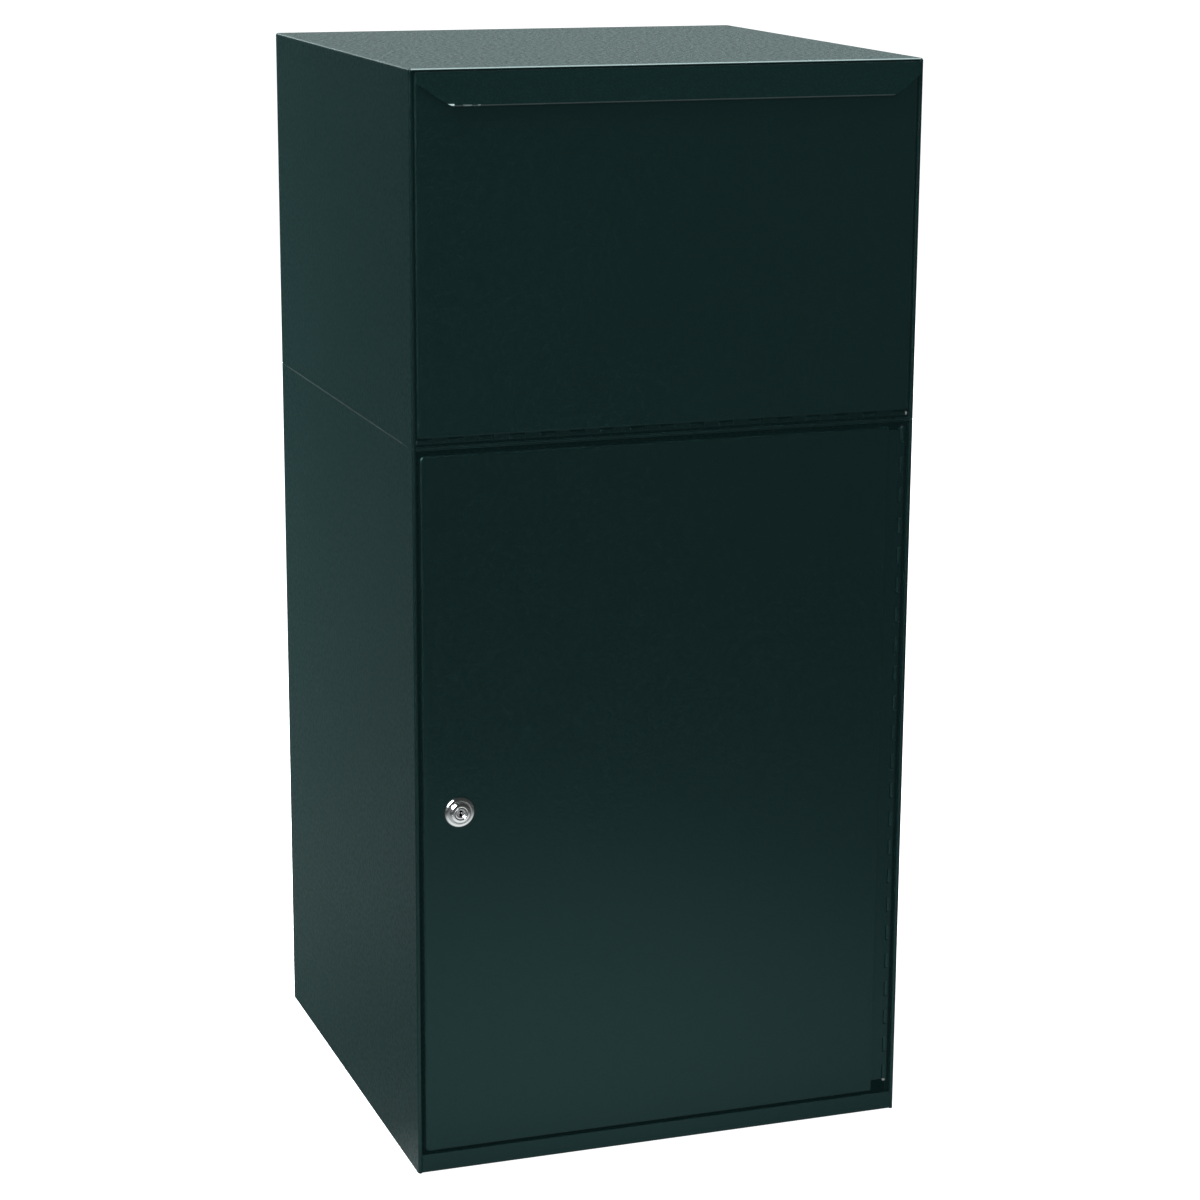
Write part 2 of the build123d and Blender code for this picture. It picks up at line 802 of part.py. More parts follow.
# The cam hangs straight down when unlocked and turns a quarter towards the latch jamb.
with BuildPart() as lock_cam:
    with BuildSketch(Plane.XZ.offset(-cam_front_y)) as cam_outline:
        with Locations((lock_x, lock_z + (cam_width / 2 - cam_reach) / 2)):
            Rectangle(cam_width, cam_width / 2 + cam_reach)
        chamfer(cam_outline.vertices(), length=cam_corner)
        with Locations((lock_x, lock_z)):
            Rectangle(cam_square, cam_square, mode=Mode.SUBTRACT)
    extrude(amount=-cam_thickness)
save(lock_cam, "lock_cam")

with BuildPart() as cam_screw:
    cam_back_plane = Plane.XZ.offset(-(cam_front_y + cam_thickness))
    add(
        hex_prism(
            [(lock_x, lock_z)],
            cam_screw_across_flats,
            -cam_screw_head_height,
            plane=cam_back_plane,
        ).part
    )
    with BuildSketch(cam_back_plane):
        with Locations((lock_x, lock_z)):
            Circle(cam_screw_diameter / 2)
    extrude(amount=cam_screw_length)
save(cam_screw, "cam_screw")
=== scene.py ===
import json
from math import asin, atan, cos, floor, hypot, pi, radians, sin, sqrt, tan

import bmesh
import bpy
from bpy.props import FloatProperty, FloatVectorProperty, IntProperty, PointerProperty
from mathutils import Matrix, Vector


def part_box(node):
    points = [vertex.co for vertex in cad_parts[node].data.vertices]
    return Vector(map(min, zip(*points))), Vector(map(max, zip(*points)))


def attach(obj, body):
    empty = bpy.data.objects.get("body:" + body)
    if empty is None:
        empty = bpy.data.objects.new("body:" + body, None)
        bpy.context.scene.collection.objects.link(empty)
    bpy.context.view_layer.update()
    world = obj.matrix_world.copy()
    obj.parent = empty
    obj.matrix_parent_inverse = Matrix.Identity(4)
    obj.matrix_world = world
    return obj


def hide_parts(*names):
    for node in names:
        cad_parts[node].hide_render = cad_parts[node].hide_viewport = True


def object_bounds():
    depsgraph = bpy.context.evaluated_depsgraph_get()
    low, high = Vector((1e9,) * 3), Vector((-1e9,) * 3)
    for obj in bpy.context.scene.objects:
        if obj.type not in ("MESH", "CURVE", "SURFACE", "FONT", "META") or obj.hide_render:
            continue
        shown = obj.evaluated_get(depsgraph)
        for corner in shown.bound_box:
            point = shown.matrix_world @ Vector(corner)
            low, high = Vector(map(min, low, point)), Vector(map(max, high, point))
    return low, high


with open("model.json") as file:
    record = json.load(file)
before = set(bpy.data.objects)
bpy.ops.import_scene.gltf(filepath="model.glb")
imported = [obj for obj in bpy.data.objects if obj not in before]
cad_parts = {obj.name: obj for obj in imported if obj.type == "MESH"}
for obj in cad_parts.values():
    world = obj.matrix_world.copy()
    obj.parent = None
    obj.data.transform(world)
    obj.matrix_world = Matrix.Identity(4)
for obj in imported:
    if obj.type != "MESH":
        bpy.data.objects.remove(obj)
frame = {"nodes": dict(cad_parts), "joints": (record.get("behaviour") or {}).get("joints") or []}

bl_info = {
    "name": "Key drop box",
    "version": (1, 0, 0),
    "blender": (4, 5, 0),
    "location": "3D View > Sidebar > Drop Box",
    "description": "Dresses a steel key drop box: paint, piano hinges, cam lock, fixings and studio",
    "category": "Object",
}

CAD_LOW, CAD_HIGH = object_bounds()
MM = 0.001
CREASE = radians(32)
WHITE = (1.0, 1.0, 1.0)
NODES = frame["nodes"]
JOINTS = {joint["name"]: joint for joint in frame["joints"]}
# The finishes by name, which the first operator fills.
FINISHES = {}
FINISHED_NODES = {
    "powder_coat": (
        "base_shell", "head_shell", "roof_panel", "hopper_stop", "hopper_baffle", "hopper_door",
        "hopper_pull", "hopper_cheek_left", "hopper_cheek_right", "hopper_tray",
    ),
    "door_coat": (
        "floor_pan", "latch_jamb", "hinge_jamb", "service_door", "door_hinge_jamb_leaf",
        "door_hinge_door_leaf",
    ),
    # Painted shade: the strips and hinge between the doors get a darker copy of the coat.
    "seam_shaded_coat": ("base_header", "head_sill", "hopper_hinge_sill_leaf", "hopper_hinge_door_leaf"),
    "zinc_steel": (
        "head_bolts", "head_nuts", "hopper_hinge_pin", "door_hinge_pin", "lock_nut", "lock_cam",
        "cam_screw",
    ),
    "chrome": ("lock_housing", "lock_plug"),
    "rubber": ("hopper_bumpers", "door_bumpers"),
}


# ---- Nodes ----


def fill(tree, node, inputs):
    """Fill a node's inputs from other sockets or from values, a colour being three numbers."""
    for name, value in inputs.items():
        socket = node.inputs[name]
        if isinstance(value, bpy.types.NodeSocket):
            tree.links.new(value, socket)
        elif socket.type == "RGBA":
            socket.default_value = (*value, 1.0)
        else:
            socket.default_value = value


def add_node(tree, kind, inputs=None, **settings):
    """Add a node, make its settings and fill its inputs."""
    made = tree.nodes.new(kind)
    for name, value in settings.items():
        setattr(made, name, value)
    fill(tree, made, inputs or {})
    return made


def output(tree, kind, inputs=None, out=0, **settings):
    """Add a node and give one of its outputs, the first unless another is asked for."""
    return add_node(tree, kind, inputs, **settings).outputs[out]


def calc(tree, operation, first, second=0.0):
    """One operation on two numbers or sockets."""
    return output(tree, "ShaderNodeMath", {0: first, 1: second}, operation=operation)


def plus(tree, first, second):
    """The sum of two numbers or sockets."""
    return calc(tree, "ADD", first, second)


def minus(tree, first, second):
    """The first number or socket less the second."""
    return calc(tree, "SUBTRACT", first, second)


def times(tree, first, second):
    """The product of two numbers or sockets."""
    return calc(tree, "MULTIPLY", first, second)


def split(tree, place):
    """A vector's X, Y and Z."""
    return add_node(tree, "ShaderNodeSeparateXYZ", {"Vector": place}).outputs


def spread(tree, value, low, high, from_low=0.3, from_high=0.7):
    """A value carried from one range to another."""
    ranges = {"From Min": from_low, "From Max": from_high, "To Min": low, "To Max": high}
    return output(tree, "ShaderNodeMapRange", {"Value": value, **ranges})


def rise(tree, value, start, end):
    """0 up to a start, 1 from an end, and between them in a straight line."""
    return spread(tree, value, 0.0, 1.0, start, end)


def noise(tree, place, scale, detail=2.0, roughness=0.5):
    """Noise at one scale, in waves to the metre, centred on a half."""
    inputs = {"Vector": place, "Scale": scale, "Detail": detail, "Roughness": roughness}
    return output(tree, "ShaderNodeTexNoise", inputs)


def mix_colours(tree, share, first, second):
    """Two colours mixed. A Mix node keeps its colours on its sockets 6 and 7, and gives 2."""
    return output(tree, "ShaderNodeMix", {0: share, 6: first, 7: second}, 2, data_type="RGBA")


def mix_shaders(tree, share, first, second):
    """The first shader where the share is 0, and the second where it is 1."""
    return output(tree, "ShaderNodeMixShader", {0: share, 1: first, 2: second})


def drift(tree, place, scale, detail, roughness, first, second):
    """Two colours that drift into each other, and the drift itself from 0 to 1."""
    share = rise(tree, noise(tree, place, scale, detail, roughness), 0.3, 0.7)
    return mix_colours(tree, share, first, second), share


def bump(tree, strength, depth, height, **others):
    """A normal turned by a height."""
    inputs = {"Strength": strength, "Distance": depth, "Height": height, **others}
    return output(tree, "ShaderNodeBump", inputs)


def ramp_by(tree, value, stops):
    """A grey level that changes smoothly along a list of places and levels."""
    made = add_node(tree, "ShaderNodeValToRGB", {"Fac": value})
    made.color_ramp.interpolation = "B_SPLINE"
    elements = made.color_ramp.elements
    while len(elements) < len(stops):
        elements.new(1.0)
    for element, (position, level) in zip(elements, stops):
        element.position = position
        element.color = (level, level, level, 1.0)
    return made.outputs["Color"]


# ---- Materials ----


def empty_tree(owner):
    """The node tree of a material or a world, emptied."""
    owner.use_nodes = True
    owner.node_tree.nodes.clear()
    return owner.node_tree


def new_material(name):
    """A material with only a principled shader: itself, its tree, the shader and the place."""
    material = bpy.data.materials.new(name)
    tree = empty_tree(material)
    shader = add_node(tree, "ShaderNodeBsdfPrincipled")
    add_node(tree, "ShaderNodeOutputMaterial", {"Surface": shader.outputs["BSDF"]})
    return material, tree, shader, output(tree, "ShaderNodeTexCoord", out="Object")


def rounded_normal(tree, radius):
    """A normal that rounds over corners within a radius."""
    return output(tree, "ShaderNodeBevel", {"Radius": radius}, samples=6)


def thin_and_highlit_edges(tree, rounded, low, high):
    """1 on outside and inside corners, fading to 0 on flat steel."""
    normals = {0: rounded, 1: output(tree, "ShaderNodeNewGeometry", out="Normal")}
    agreement = output(tree, "ShaderNodeVectorMath", normals, "Value", operation="DOT_PRODUCT")
    return spread(tree, agreement, 1.0, 0.0, low, high)


def powder_coat(
    settings, name, share=1.0, peel_share=1.0, matt_range=0.2, polish=0.4, gloss=0.5
):
    """Satin green-black powder coat: orange peel, flecks, and paler edges, partly where the coat
    draws thin and partly a painted highlight.
    """
    material, tree, shader, place = new_material(name)
    rounded = rounded_normal(tree, settings.edge_radius)
    peel = noise(tree, place, 1 / settings.peel_size, 3.0, 0.6)
    fleck = rise(tree, noise(tree, place, 700.0, 1.0), 0.35, 0.7)
    dark, light = ([c * share * depth for c in settings.paint] for depth in (0.8, 1.6))
    grained = mix_colours(tree, fleck, dark, light)
    # Edges go paler: partly the coat drawing thin over them, partly a painted highlight.
    edge = thin_and_highlit_edges(tree, rounded, 0.93, 1.0)
    most_matt = settings.roughness + matt_range
    least_matt = settings.roughness - polish * matt_range
    peel_depth = settings.peel_depth * peel_share
    fill(tree, shader, {
        "Base Color": mix_colours(tree, edge, grained, settings.thin_paint_and_highlight),
        "Roughness": spread(tree, peel, most_matt, least_matt, 0.2, 0.5 + 0.3 * polish),
        "IOR": 1.45,
        "Specular IOR Level": gloss,
        "Specular Tint": (0.45, 1.0, 1.0),
        # Painted light: the coat glows faintly, so its gaps and shadows never close up to black.
        "Emission Color": settings.shadow_lift,
        "Emission Strength": 1.0,
        "Normal": bump(tree, settings.peel_strength, peel_depth, peel, Normal=rounded),
    })
    return material


def paint_highlight_runs(material, settings, low, high, share=1.0, cover=0.6):
    """Painted highlight: let the coat go pale, in runs and specks, inside the box between two
    corners, where an edge catches the light.

    share is how pale the runs go, and cover how much of the box they fill.
    """
    tree = material.node_tree
    shader = next(n for n in tree.nodes if n.type == "BSDF_PRINCIPLED")
    coat = shader.inputs["Base Color"].links[0].from_socket
    place = output(tree, "ShaderNodeTexCoord", out="Object")
    parts = split(tree, place)
    soft = settings.highlight_softness
    runs = noise(tree, place, 1 / settings.highlight_run_size, 3.0, 0.6)
    highlit = rise(tree, runs, 0.62 - cover, 0.75 - cover)
    for axis, start, end in zip("XYZ", low, high):
        for edge, way in ((start, 1), (end, -1)):
            inside = rise(tree, parts[axis], edge - way * soft, edge + way * soft)
            highlit = times(tree, highlit, inside)
    # The pale colour of the painted highlight.
    highlight = [c * share for c in settings.highlight_colour]
    fill(tree, shader, {"Base Color": mix_colours(tree, highlit, coat, highlight)})


def zinc_plate():
    """Bright zinc plate with a faint bluish drift and fine drawing marks."""
    material, tree, shader, place = new_material("bright_zinc_plate")
    bluish, warm = (0.50, 0.51, 0.53), (0.66, 0.66, 0.64)
    marks = noise(tree, place, 2500.0, 2.0)
    fill(tree, shader, {
        "Base Color": drift(tree, place, 160.0, 3.0, 0.5, bluish, warm)[0],
        "Metallic": 1.0,
        "Roughness": spread(tree, marks, 0.26, 0.42),
        "Normal": bump(tree, 0.25, 0.02 * MM, marks),
    })
    return material


def burnished_steel():
    """Pale burnished pin steel, half bright metal and half matt."""
    material, tree, shader, place = new_material("burnished_pin_steel")
    dull, bright = (0.26, 0.29, 0.29), (0.46, 0.50, 0.50)
    steel, share = drift(tree, place, 300.0, 2.0, 0.5, dull, bright)
    fill(tree, shader, {
        "Base Color": steel,
        "Metallic": 0.35,
        "Roughness": spread(tree, share, 0.30, 0.42, 0.0, 1.0),
    })
    return material


def chrome_plate(name="polished_chrome", shade_from=None):
    """Polished chrome with a little handling wear, and painted shade behind a y if one is given: near
    black there, where the keyway and the plug's sides lie in shade.
    """
    material, tree, shader, place = new_material(name)
    clean, handled, shade_colour = (0.94, 0.98, 0.98), (0.86, 0.91, 0.91), (0.008, 0.010, 0.010)
    plate, haze = drift(tree, place, 220.0, 4.0, 0.6, clean, handled)
    if shade_from is not None:
        behind = rise(tree, split(tree, place)["Y"], shade_from, shade_from + 0.3 * MM)
        plate = mix_colours(tree, behind, plate, shade_colour)
    rounded = rounded_normal(tree, 0.25 * MM)
    scuffs = noise(tree, place, 3500.0, 1.0)
    fill(tree, shader, {
        "Base Color": plate,
        "Metallic": 1.0,
        "Roughness": spread(tree, haze, 0.04, 0.10, 0.0, 1.0),
        "Normal": bump(tree, 0.12, 0.01 * MM, scuffs, Normal=rounded),
    })
    return material


def moulded_rubber():
    """Matt black moulded rubber with a dusty bloom."""
    material, tree, shader, place = new_material("moulded_black_rubber")
    black, dusty = (0.012, 0.012, 0.013), (0.030, 0.030, 0.031)
    skin, bloom = drift(tree, place, 120.0, 4.0, 0.65, black, dusty)
    fill(tree, shader, {
        "Base Color": skin,
        "Roughness": spread(tree, bloom, 0.55, 0.75, 0.0, 1.0),
        "Normal": bump(tree, 0.4, 0.05 * MM, noise(tree, place, 1800.0, 2.0)),
    })
    return material


def finish(mesh, material):
    """Give a mesh its one material."""
    mesh.materials.clear()
    mesh.materials.append(material)


# ---- Geometry trees ----


def new_shape(name, lengths, counts=()):
    """A geometry tree with named inputs, and its input sockets by name."""
    tree = bpy.data.node_groups.new(name, "GeometryNodeTree")
    tree.interface.new_socket("Geometry", in_out="OUTPUT", socket_type="NodeSocketGeometry")
    for kind, labels in (
        ("Geometry", ("Geometry",)), ("Float", lengths), ("Int", counts), ("Material", ("Material",)),
    ):
        for label in labels:
            tree.interface.new_socket(label, in_out="INPUT", socket_type="NodeSocket" + kind)
    return tree, add_node(tree, "NodeGroupInput").outputs


def join(tree, *pieces):
    """Several pieces of geometry as one."""
    joined = add_node(tree, "GeometryNodeJoinGeometry")
    for piece in pieces:
        tree.links.new(piece, joined.inputs[0])
    return joined.outputs[0]


def close_shape(tree, geometry, material):
    """Make the instances real, give the material and end the tree."""
    real = output(tree, "GeometryNodeRealizeInstances", {"Geometry": geometry})
    ends = {"Geometry": real, "Material": material}
    finished = output(tree, "GeometryNodeSetMaterial", ends)
    add_node(tree, "NodeGroupOutput", {"Geometry": finished})
    return tree


def vector(tree, x=0.0, y=0.0, z=0.0):
    """A vector from three numbers or sockets."""
    return output(tree, "ShaderNodeCombineXYZ", {"X": x, "Y": y, "Z": z})


def moved(tree, geometry, **change):
    """Geometry shifted by its Translation, turned by its Rotation or stretched by its Scale."""
    return output(tree, "GeometryNodeTransform", {"Geometry": geometry, **change})


def on_points(tree, points, geometry, **turn):
    """An instance of the geometry on each point."""
    inputs = {"Points": points, "Instance": geometry, **turn}
    return output(tree, "GeometryNodeInstanceOnPoints", inputs)


def row_of(tree, geometry, count, start, step):
    """Instances of geometry in a straight row."""
    inputs = {"Count": count, "Start Location": start, "Offset": step}
    return on_points(tree, output(tree, "GeometryNodeMeshLine", inputs), geometry)


def rolled_strip(tree, size, roll, below):
    """One knuckle: a strip that lies on the leaf's plane and rolls round the barrel."""
    points, turn = 22, radians(297)
    index = output(tree, "GeometryNodeInputIndex")
    steps = times(tree, minus(tree, index, 1.0), -turn / (points - 2))
    angle = plus(tree, steps, -pi / 2)
    across, up = (times(tree, calc(tree, way, angle), roll) for way in ("COSINE", "SINE"))
    choice = {
        "Switch": calc(tree, "LESS_THAN", index, 0.5),
        "False": vector(tree, across, up),
        "True": vector(tree, size["Leaf start"], below),
    }
    place = output(tree, "GeometryNodeSwitch", choice, input_type="VECTOR")
    line = output(tree, "GeometryNodeMeshLine", {"Count": points})
    path = output(tree, "GeometryNodeSetPosition", {"Geometry": line, "Position": place})
    curve = output(tree, "GeometryNodeMeshToCurve", {"Mesh": path})
    upright = output(tree, "GeometryNodeSetCurveNormal", {"Curve": curve}, mode="Z_UP")
    height = minus(tree, size["Knuckle pitch"], size["Knuckle gap"])
    sides = {"Width": size["Leaf thickness"], "Height": height}
    section = output(tree, "GeometryNodeCurvePrimitiveQuadrilateral", sides)
    sweep = {"Curve": upright, "Profile Curve": section, "Fill Caps": True}
    return output(tree, "GeometryNodeCurveToMesh", sweep)


def hinge_leaf_tree():
    """Piano hinge leaf: knuckles rolled from the leaf, every second place left open."""
    lengths = (
        "Leaf length", "Leaf width", "Leaf thickness", "Barrel radius", "Knuckle pitch",
        "Knuckle gap", "First knuckle", "Leaf start", "Weld spacing", "Weld row",
    )
    tree, size = new_shape("piano_hinge_leaf", lengths, ("Knuckles", "Welds"))
    thickness, start, width = size["Leaf thickness"], size["Leaf start"], size["Leaf width"]
    roll = minus(tree, size["Barrel radius"], times(tree, thickness, 0.5))
    below = times(tree, roll, -1.0)
    knuckles = row_of(
        tree,
        rolled_strip(tree, size, roll, below),
        size["Knuckles"],
        vector(tree, z=size["First knuckle"]),
        vector(tree, z=times(tree, size["Knuckle pitch"], 2.0)),
    )
    sides = vector(tree, minus(tree, width, start), thickness, size["Leaf length"])
    middle = vector(tree, times(tree, plus(tree, width, start), 0.5), below)
    plate = moved(tree, output(tree, "GeometryNodeMeshCube", {"Size": sides}), Translation=middle)
    ball = {"Segments": 20, "Rings": 8, "Radius": 2.6 * MM}
    spot = moved(tree, output(tree, "GeometryNodeMeshUVSphere", ball), Scale=(1.0, 0.12, 1.0))
    spacing = size["Weld spacing"]
    row_length = times(tree, minus(tree, size["Welds"], 1.0), spacing)
    face = minus(tree, thickness, size["Barrel radius"])
    first_weld = vector(tree, size["Weld row"], face, times(tree, row_length, -0.5))
    welds = row_of(tree, spot, size["Welds"], first_weld, vector(tree, z=spacing))
    return close_shape(tree, join(tree, knuckles, plate, welds), size["Material"])


def threaded_shank(tree, size):
    """A shank grooved by its thread, with its middle at the origin."""
    round_bar = {
        "Vertices": 28,
        "Side Segments": 30,
        "Radius": times(tree, size["Diameter"], 0.5),
        "Depth": size["Shank length"],
    }
    parts = split(tree, output(tree, "GeometryNodeInputPosition"))
    half_pitch = times(tree, size["Thread pitch"], 0.5)
    depth = calc(tree, "DIVIDE", calc(tree, "PINGPONG", parts["Z"], half_pitch), size["Diameter"])
    cut = minus(tree, 1.0, times(tree, depth, 1.8))
    across, up = times(tree, parts["X"], cut), times(tree, parts["Y"], cut)
    grooved = {
        "Geometry": output(tree, "GeometryNodeMeshCylinder", round_bar),
        "Position": vector(tree, across, up, parts["Z"]),
    }
    return output(tree, "GeometryNodeSetPosition", grooved)


def hex_tree(nut):
    """Hexagon nuts with both faces chamfered, or bolt heads with a threaded shank."""
    tree, size = new_shape(
        "hexagon_nut" if nut else "hexagon_bolt",
        ("Across flats", "Height", "Diameter", "Shank length", "Thread pitch"),
    )
    height = size["Height"]
    corner = calc(tree, "DIVIDE", size["Across flats"], sqrt(3))
    sides = {"Vertices": 6, "Radius": corner, "Depth": height}
    face = times(tree, size["Across flats"], 0.485)
    tall = times(tree, height, 1.04)
    foot = plus(tree, face, times(tree, height, 1.8))
    slopes = {"Vertices": 48, "Radius Top": face, "Radius Bottom": foot, "Depth": tall}
    cone = output(tree, "GeometryNodeMeshCone", slopes)
    centred = moved(tree, cone, Translation=vector(tree, z=times(tree, tall, -0.5)))
    head = add_node(tree, "GeometryNodeMeshBoolean", operation="INTERSECT")
    for solid in (output(tree, "GeometryNodeMeshCylinder", sides), centred):
        tree.links.new(solid, head.inputs["Mesh 2"])
    fixing = head.outputs[0]
    if nut:
        tree.links.new(moved(tree, centred, Rotation=(pi, 0.0, 0.0)), head.inputs["Mesh 2"])
        bore = {"Vertices": 40, "Radius": times(tree, size["Diameter"], 0.5), "Depth": tall}
        drilled = {"Mesh 1": fixing, "Mesh 2": output(tree, "GeometryNodeMeshCylinder", bore)}
        fixing = output(tree, "GeometryNodeMeshBoolean", drilled, operation="DIFFERENCE")
    else:
        drop = times(tree, plus(tree, size["Shank length"], height), -0.5)
        shank = moved(tree, threaded_shank(tree, size), Translation=vector(tree, z=drop))
        fixing = join(tree, fixing, shank)
    spin = output(tree, "FunctionNodeRandomValue", {"Seed": 4}, 1, data_type="FLOAT")
    spun = {"Euler": vector(tree, z=times(tree, spin, pi))}
    turned_by = output(tree, "FunctionNodeEulerToRotation", spun)
    rows = on_points(tree, size["Geometry"], fixing, Rotation=turned_by)
    return close_shape(tree, rows, size["Material"])


def pad_tree():
    """Moulded rubber pads, one at each place."""
    tree, size = new_shape("rubber_pad", ("Width", "Depth", "Height"))
    sides = vector(tree, size["Width"], size["Depth"], size["Height"])
    block = output(tree, "GeometryNodeMeshCube", {"Size": sides})
    rows = on_points(tree, size["Geometry"], block)
    return close_shape(tree, rows, size["Material"])


# ---- Shapes ----


def new_piece(name, mesh=None):
    """A piece at the origin, empty unless it is given a mesh."""
    piece = bpy.data.objects.new(name, mesh or bpy.data.meshes.new(name))
    bpy.context.scene.collection.objects.link(piece)
    return piece


def settle(piece):
    """Turn a piece and its modifiers into one plain mesh."""
    graph = bpy.context.evaluated_depsgraph_get()
    mesh = bpy.data.meshes.new_from_object(piece.evaluated_get(graph), depsgraph=graph)
    piece.modifiers.clear()
    piece.data = mesh
    return mesh


def mesh_of(shape, name):
    """Write a shape out as a mesh of its own."""
    mesh = bpy.data.meshes.new(name)
    shape.to_mesh(mesh)
    shape.free()
    return mesh


def tidy_mesh(mesh):
    """Merge doubles, point faces outwards, and shade smooth across gentle folds."""
    shape = bmesh.new()
    shape.from_mesh(mesh)
    bmesh.ops.remove_doubles(shape, verts=shape.verts, dist=0.2e-6)
    bmesh.ops.recalc_face_normals(shape, faces=shape.faces)
    shape.to_mesh(mesh)
    shape.free()
    mesh.shade_smooth()
    mesh.set_sharp_from_angle(angle=CREASE)


def grow(name, tree, material, sizes, turn=Matrix.Identity(4), places=()):
    """Run a geometry tree with its sizes, and set the result in place as a plain mesh."""
    piece = new_piece(name)
    piece.data.from_pydata(list(places), [], [])
    modifier = piece.modifiers.new("shape", "NODES")
    modifier.node_group = tree
    sizes = {"Material": material, **sizes}
    for item in tree.interface.items_tree:
        if item.in_out == "INPUT" and item.name in sizes:
            modifier[item.identifier] = sizes[item.name]
    mesh = settle(piece)
    mesh.transform(turn)
    tidy_mesh(mesh)
    return piece


def axes(origin, x_axis, z_axis):
    """Matrix that sets a piece's own x and z along two directions from an origin."""
    x_axis, z_axis = Vector(x_axis), Vector(z_axis)
    turn = Matrix((x_axis, z_axis.cross(x_axis), z_axis)).transposed().to_4x4()
    return Matrix.Translation(origin) @ turn


def facing_front(origin):
    """Matrix that sets a piece's own z out of the box's front from an origin."""
    return axes(origin, (1, 0, 0), (0, -1, 0))


def add_walls(shape, rings):
    """Four-sided faces from each ring of corners to the next."""
    for first, second in zip(rings, rings[1:]):
        for n in range(len(first)):
            m = (n + 1) % len(first)
            shape.faces.new((first[n], first[m], second[m], second[n]))


def push(shape, made, way):
    """Move what an extrusion made, and point the shape's faces outwards."""
    verts = [part for part in made["geom"] if isinstance(part, bmesh.types.BMVert)]
    bmesh.ops.translate(shape, verts=verts, vec=way)
    bmesh.ops.recalc_face_normals(shape, faces=shape.faces)


def lathe(name, profile, segments, turn):
    """Closed profile of radius and height turned about the piece's own z axis."""
    shape = bmesh.new()
    angles = [2 * pi * n / segments for n in range(segments)]
    rings = [
        [shape.verts.new((radius * cos(a), radius * sin(a), height)) for a in angles]
        for radius, height in profile
    ]
    add_walls(shape, rings + rings[:1])
    mesh = mesh_of(shape, name)
    mesh.transform(turn)
    tidy_mesh(mesh)
    return new_piece(name, mesh)


def rounded_rectangle(low, high, radii, segments=8):
    """Outline of a rectangle with rounded corners, anticlockwise from the lower left one."""
    outline = []
    for n, radius in enumerate(radii):
        right, top = n in (1, 2), n in (2, 3)
        x = high[0] - radius if right else low[0] + radius
        y = high[1] - radius if top else low[1] + radius
        for m in range(segments + 1 if radius else 1):
            angle = pi + pi / 2 * (n + m / segments)
            outline.append((x + radius * cos(angle), y + radius * sin(angle)))
    return outline


def folded_door(node, settings, radii, axis, end):
    """Sheet steel door: flat front, edges folded back on three sides, hinge side left flat.

    radii go anticlockwise from the lower left corner of the front. The hinge side is at the low
    end (0) or the high end (1) of the door's box along the axis.
    """
    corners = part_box(node)
    low, high = corners
    shape = bmesh.new()
    outline = rounded_rectangle((low.x, low.z), (high.x, high.z), radii)
    face = shape.faces.new([shape.verts.new((x, low.y, z)) for x, z in outline])
    flat = corners[end][axis]
    folded = [e for e in face.edges if any(abs(v.co[axis] - flat) > 1e-7 for v in e.verts)]
    made = bmesh.ops.extrude_edge_only(shape, edges=folded)
    push(shape, made, (0.0, high.y - low.y, 0.0))
    if face.normal.y > 0:
        bmesh.ops.reverse_faces(shape, faces=shape.faces)
    bend = settings.bend_radius
    bmesh.ops.bevel(shape, geom=folded, offset=bend, segments=5, profile=0.5, affect="EDGES")
    piece = new_piece(node + "_folded", mesh_of(shape, node + "_folded"))
    wall = piece.modifiers.new("sheet", "SOLIDIFY")
    wall.thickness = settings.sheet
    wall.offset = -1.0
    wall.use_even_offset = True
    return piece


def cut(piece, tool):
    """Take a closed tool's volume out of a piece, and clear the tool away."""
    change = piece.modifiers.new("cut", "BOOLEAN")
    change.operation = "DIFFERENCE"
    change.solver = "EXACT"
    change.object = tool
    mesh = settle(piece)
    bpy.data.objects.remove(tool)
    tidy_mesh(mesh)


def dress(piece, body, material, slot, *replaced):
    """Finish a piece, hang it on its body, and say which parts it stands for."""
    finish(piece.data, material)
    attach(piece, body)
    if replaced:
        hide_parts(*replaced)


# ---- Settings ----


def length(name, description, default, least=0.0):
    """A length, with its default and its least value in millimetres."""
    return FloatProperty(
        name=name, description=description, unit="LENGTH", default=default * MM, min=least * MM
    )


def factor(name, description, default, most=1.0):
    """A share of something else."""
    return FloatProperty(
        name=name, description=description, subtype="FACTOR", default=default, min=0.0, max=most
    )


def strength(name, description, default, unit="NONE"):
    """A level of light, or a lamp's power."""
    return FloatProperty(name=name, description=description, unit=unit, default=default, min=0.0)


def tone(name, description, default, most=1.0):
    """A colour."""
    return FloatVectorProperty(
        name=name, description=description, subtype="COLOR", default=default, min=0.0, max=most
    )


def direction(name, description, default):
    """A direction from the box."""
    return FloatVectorProperty(
        name=name, description=description, subtype="DIRECTION", default=default
    )


def number(name, description, default, least):
    """A number of equal pieces or steps."""
    return IntProperty(name=name, description=description, default=default, min=least)


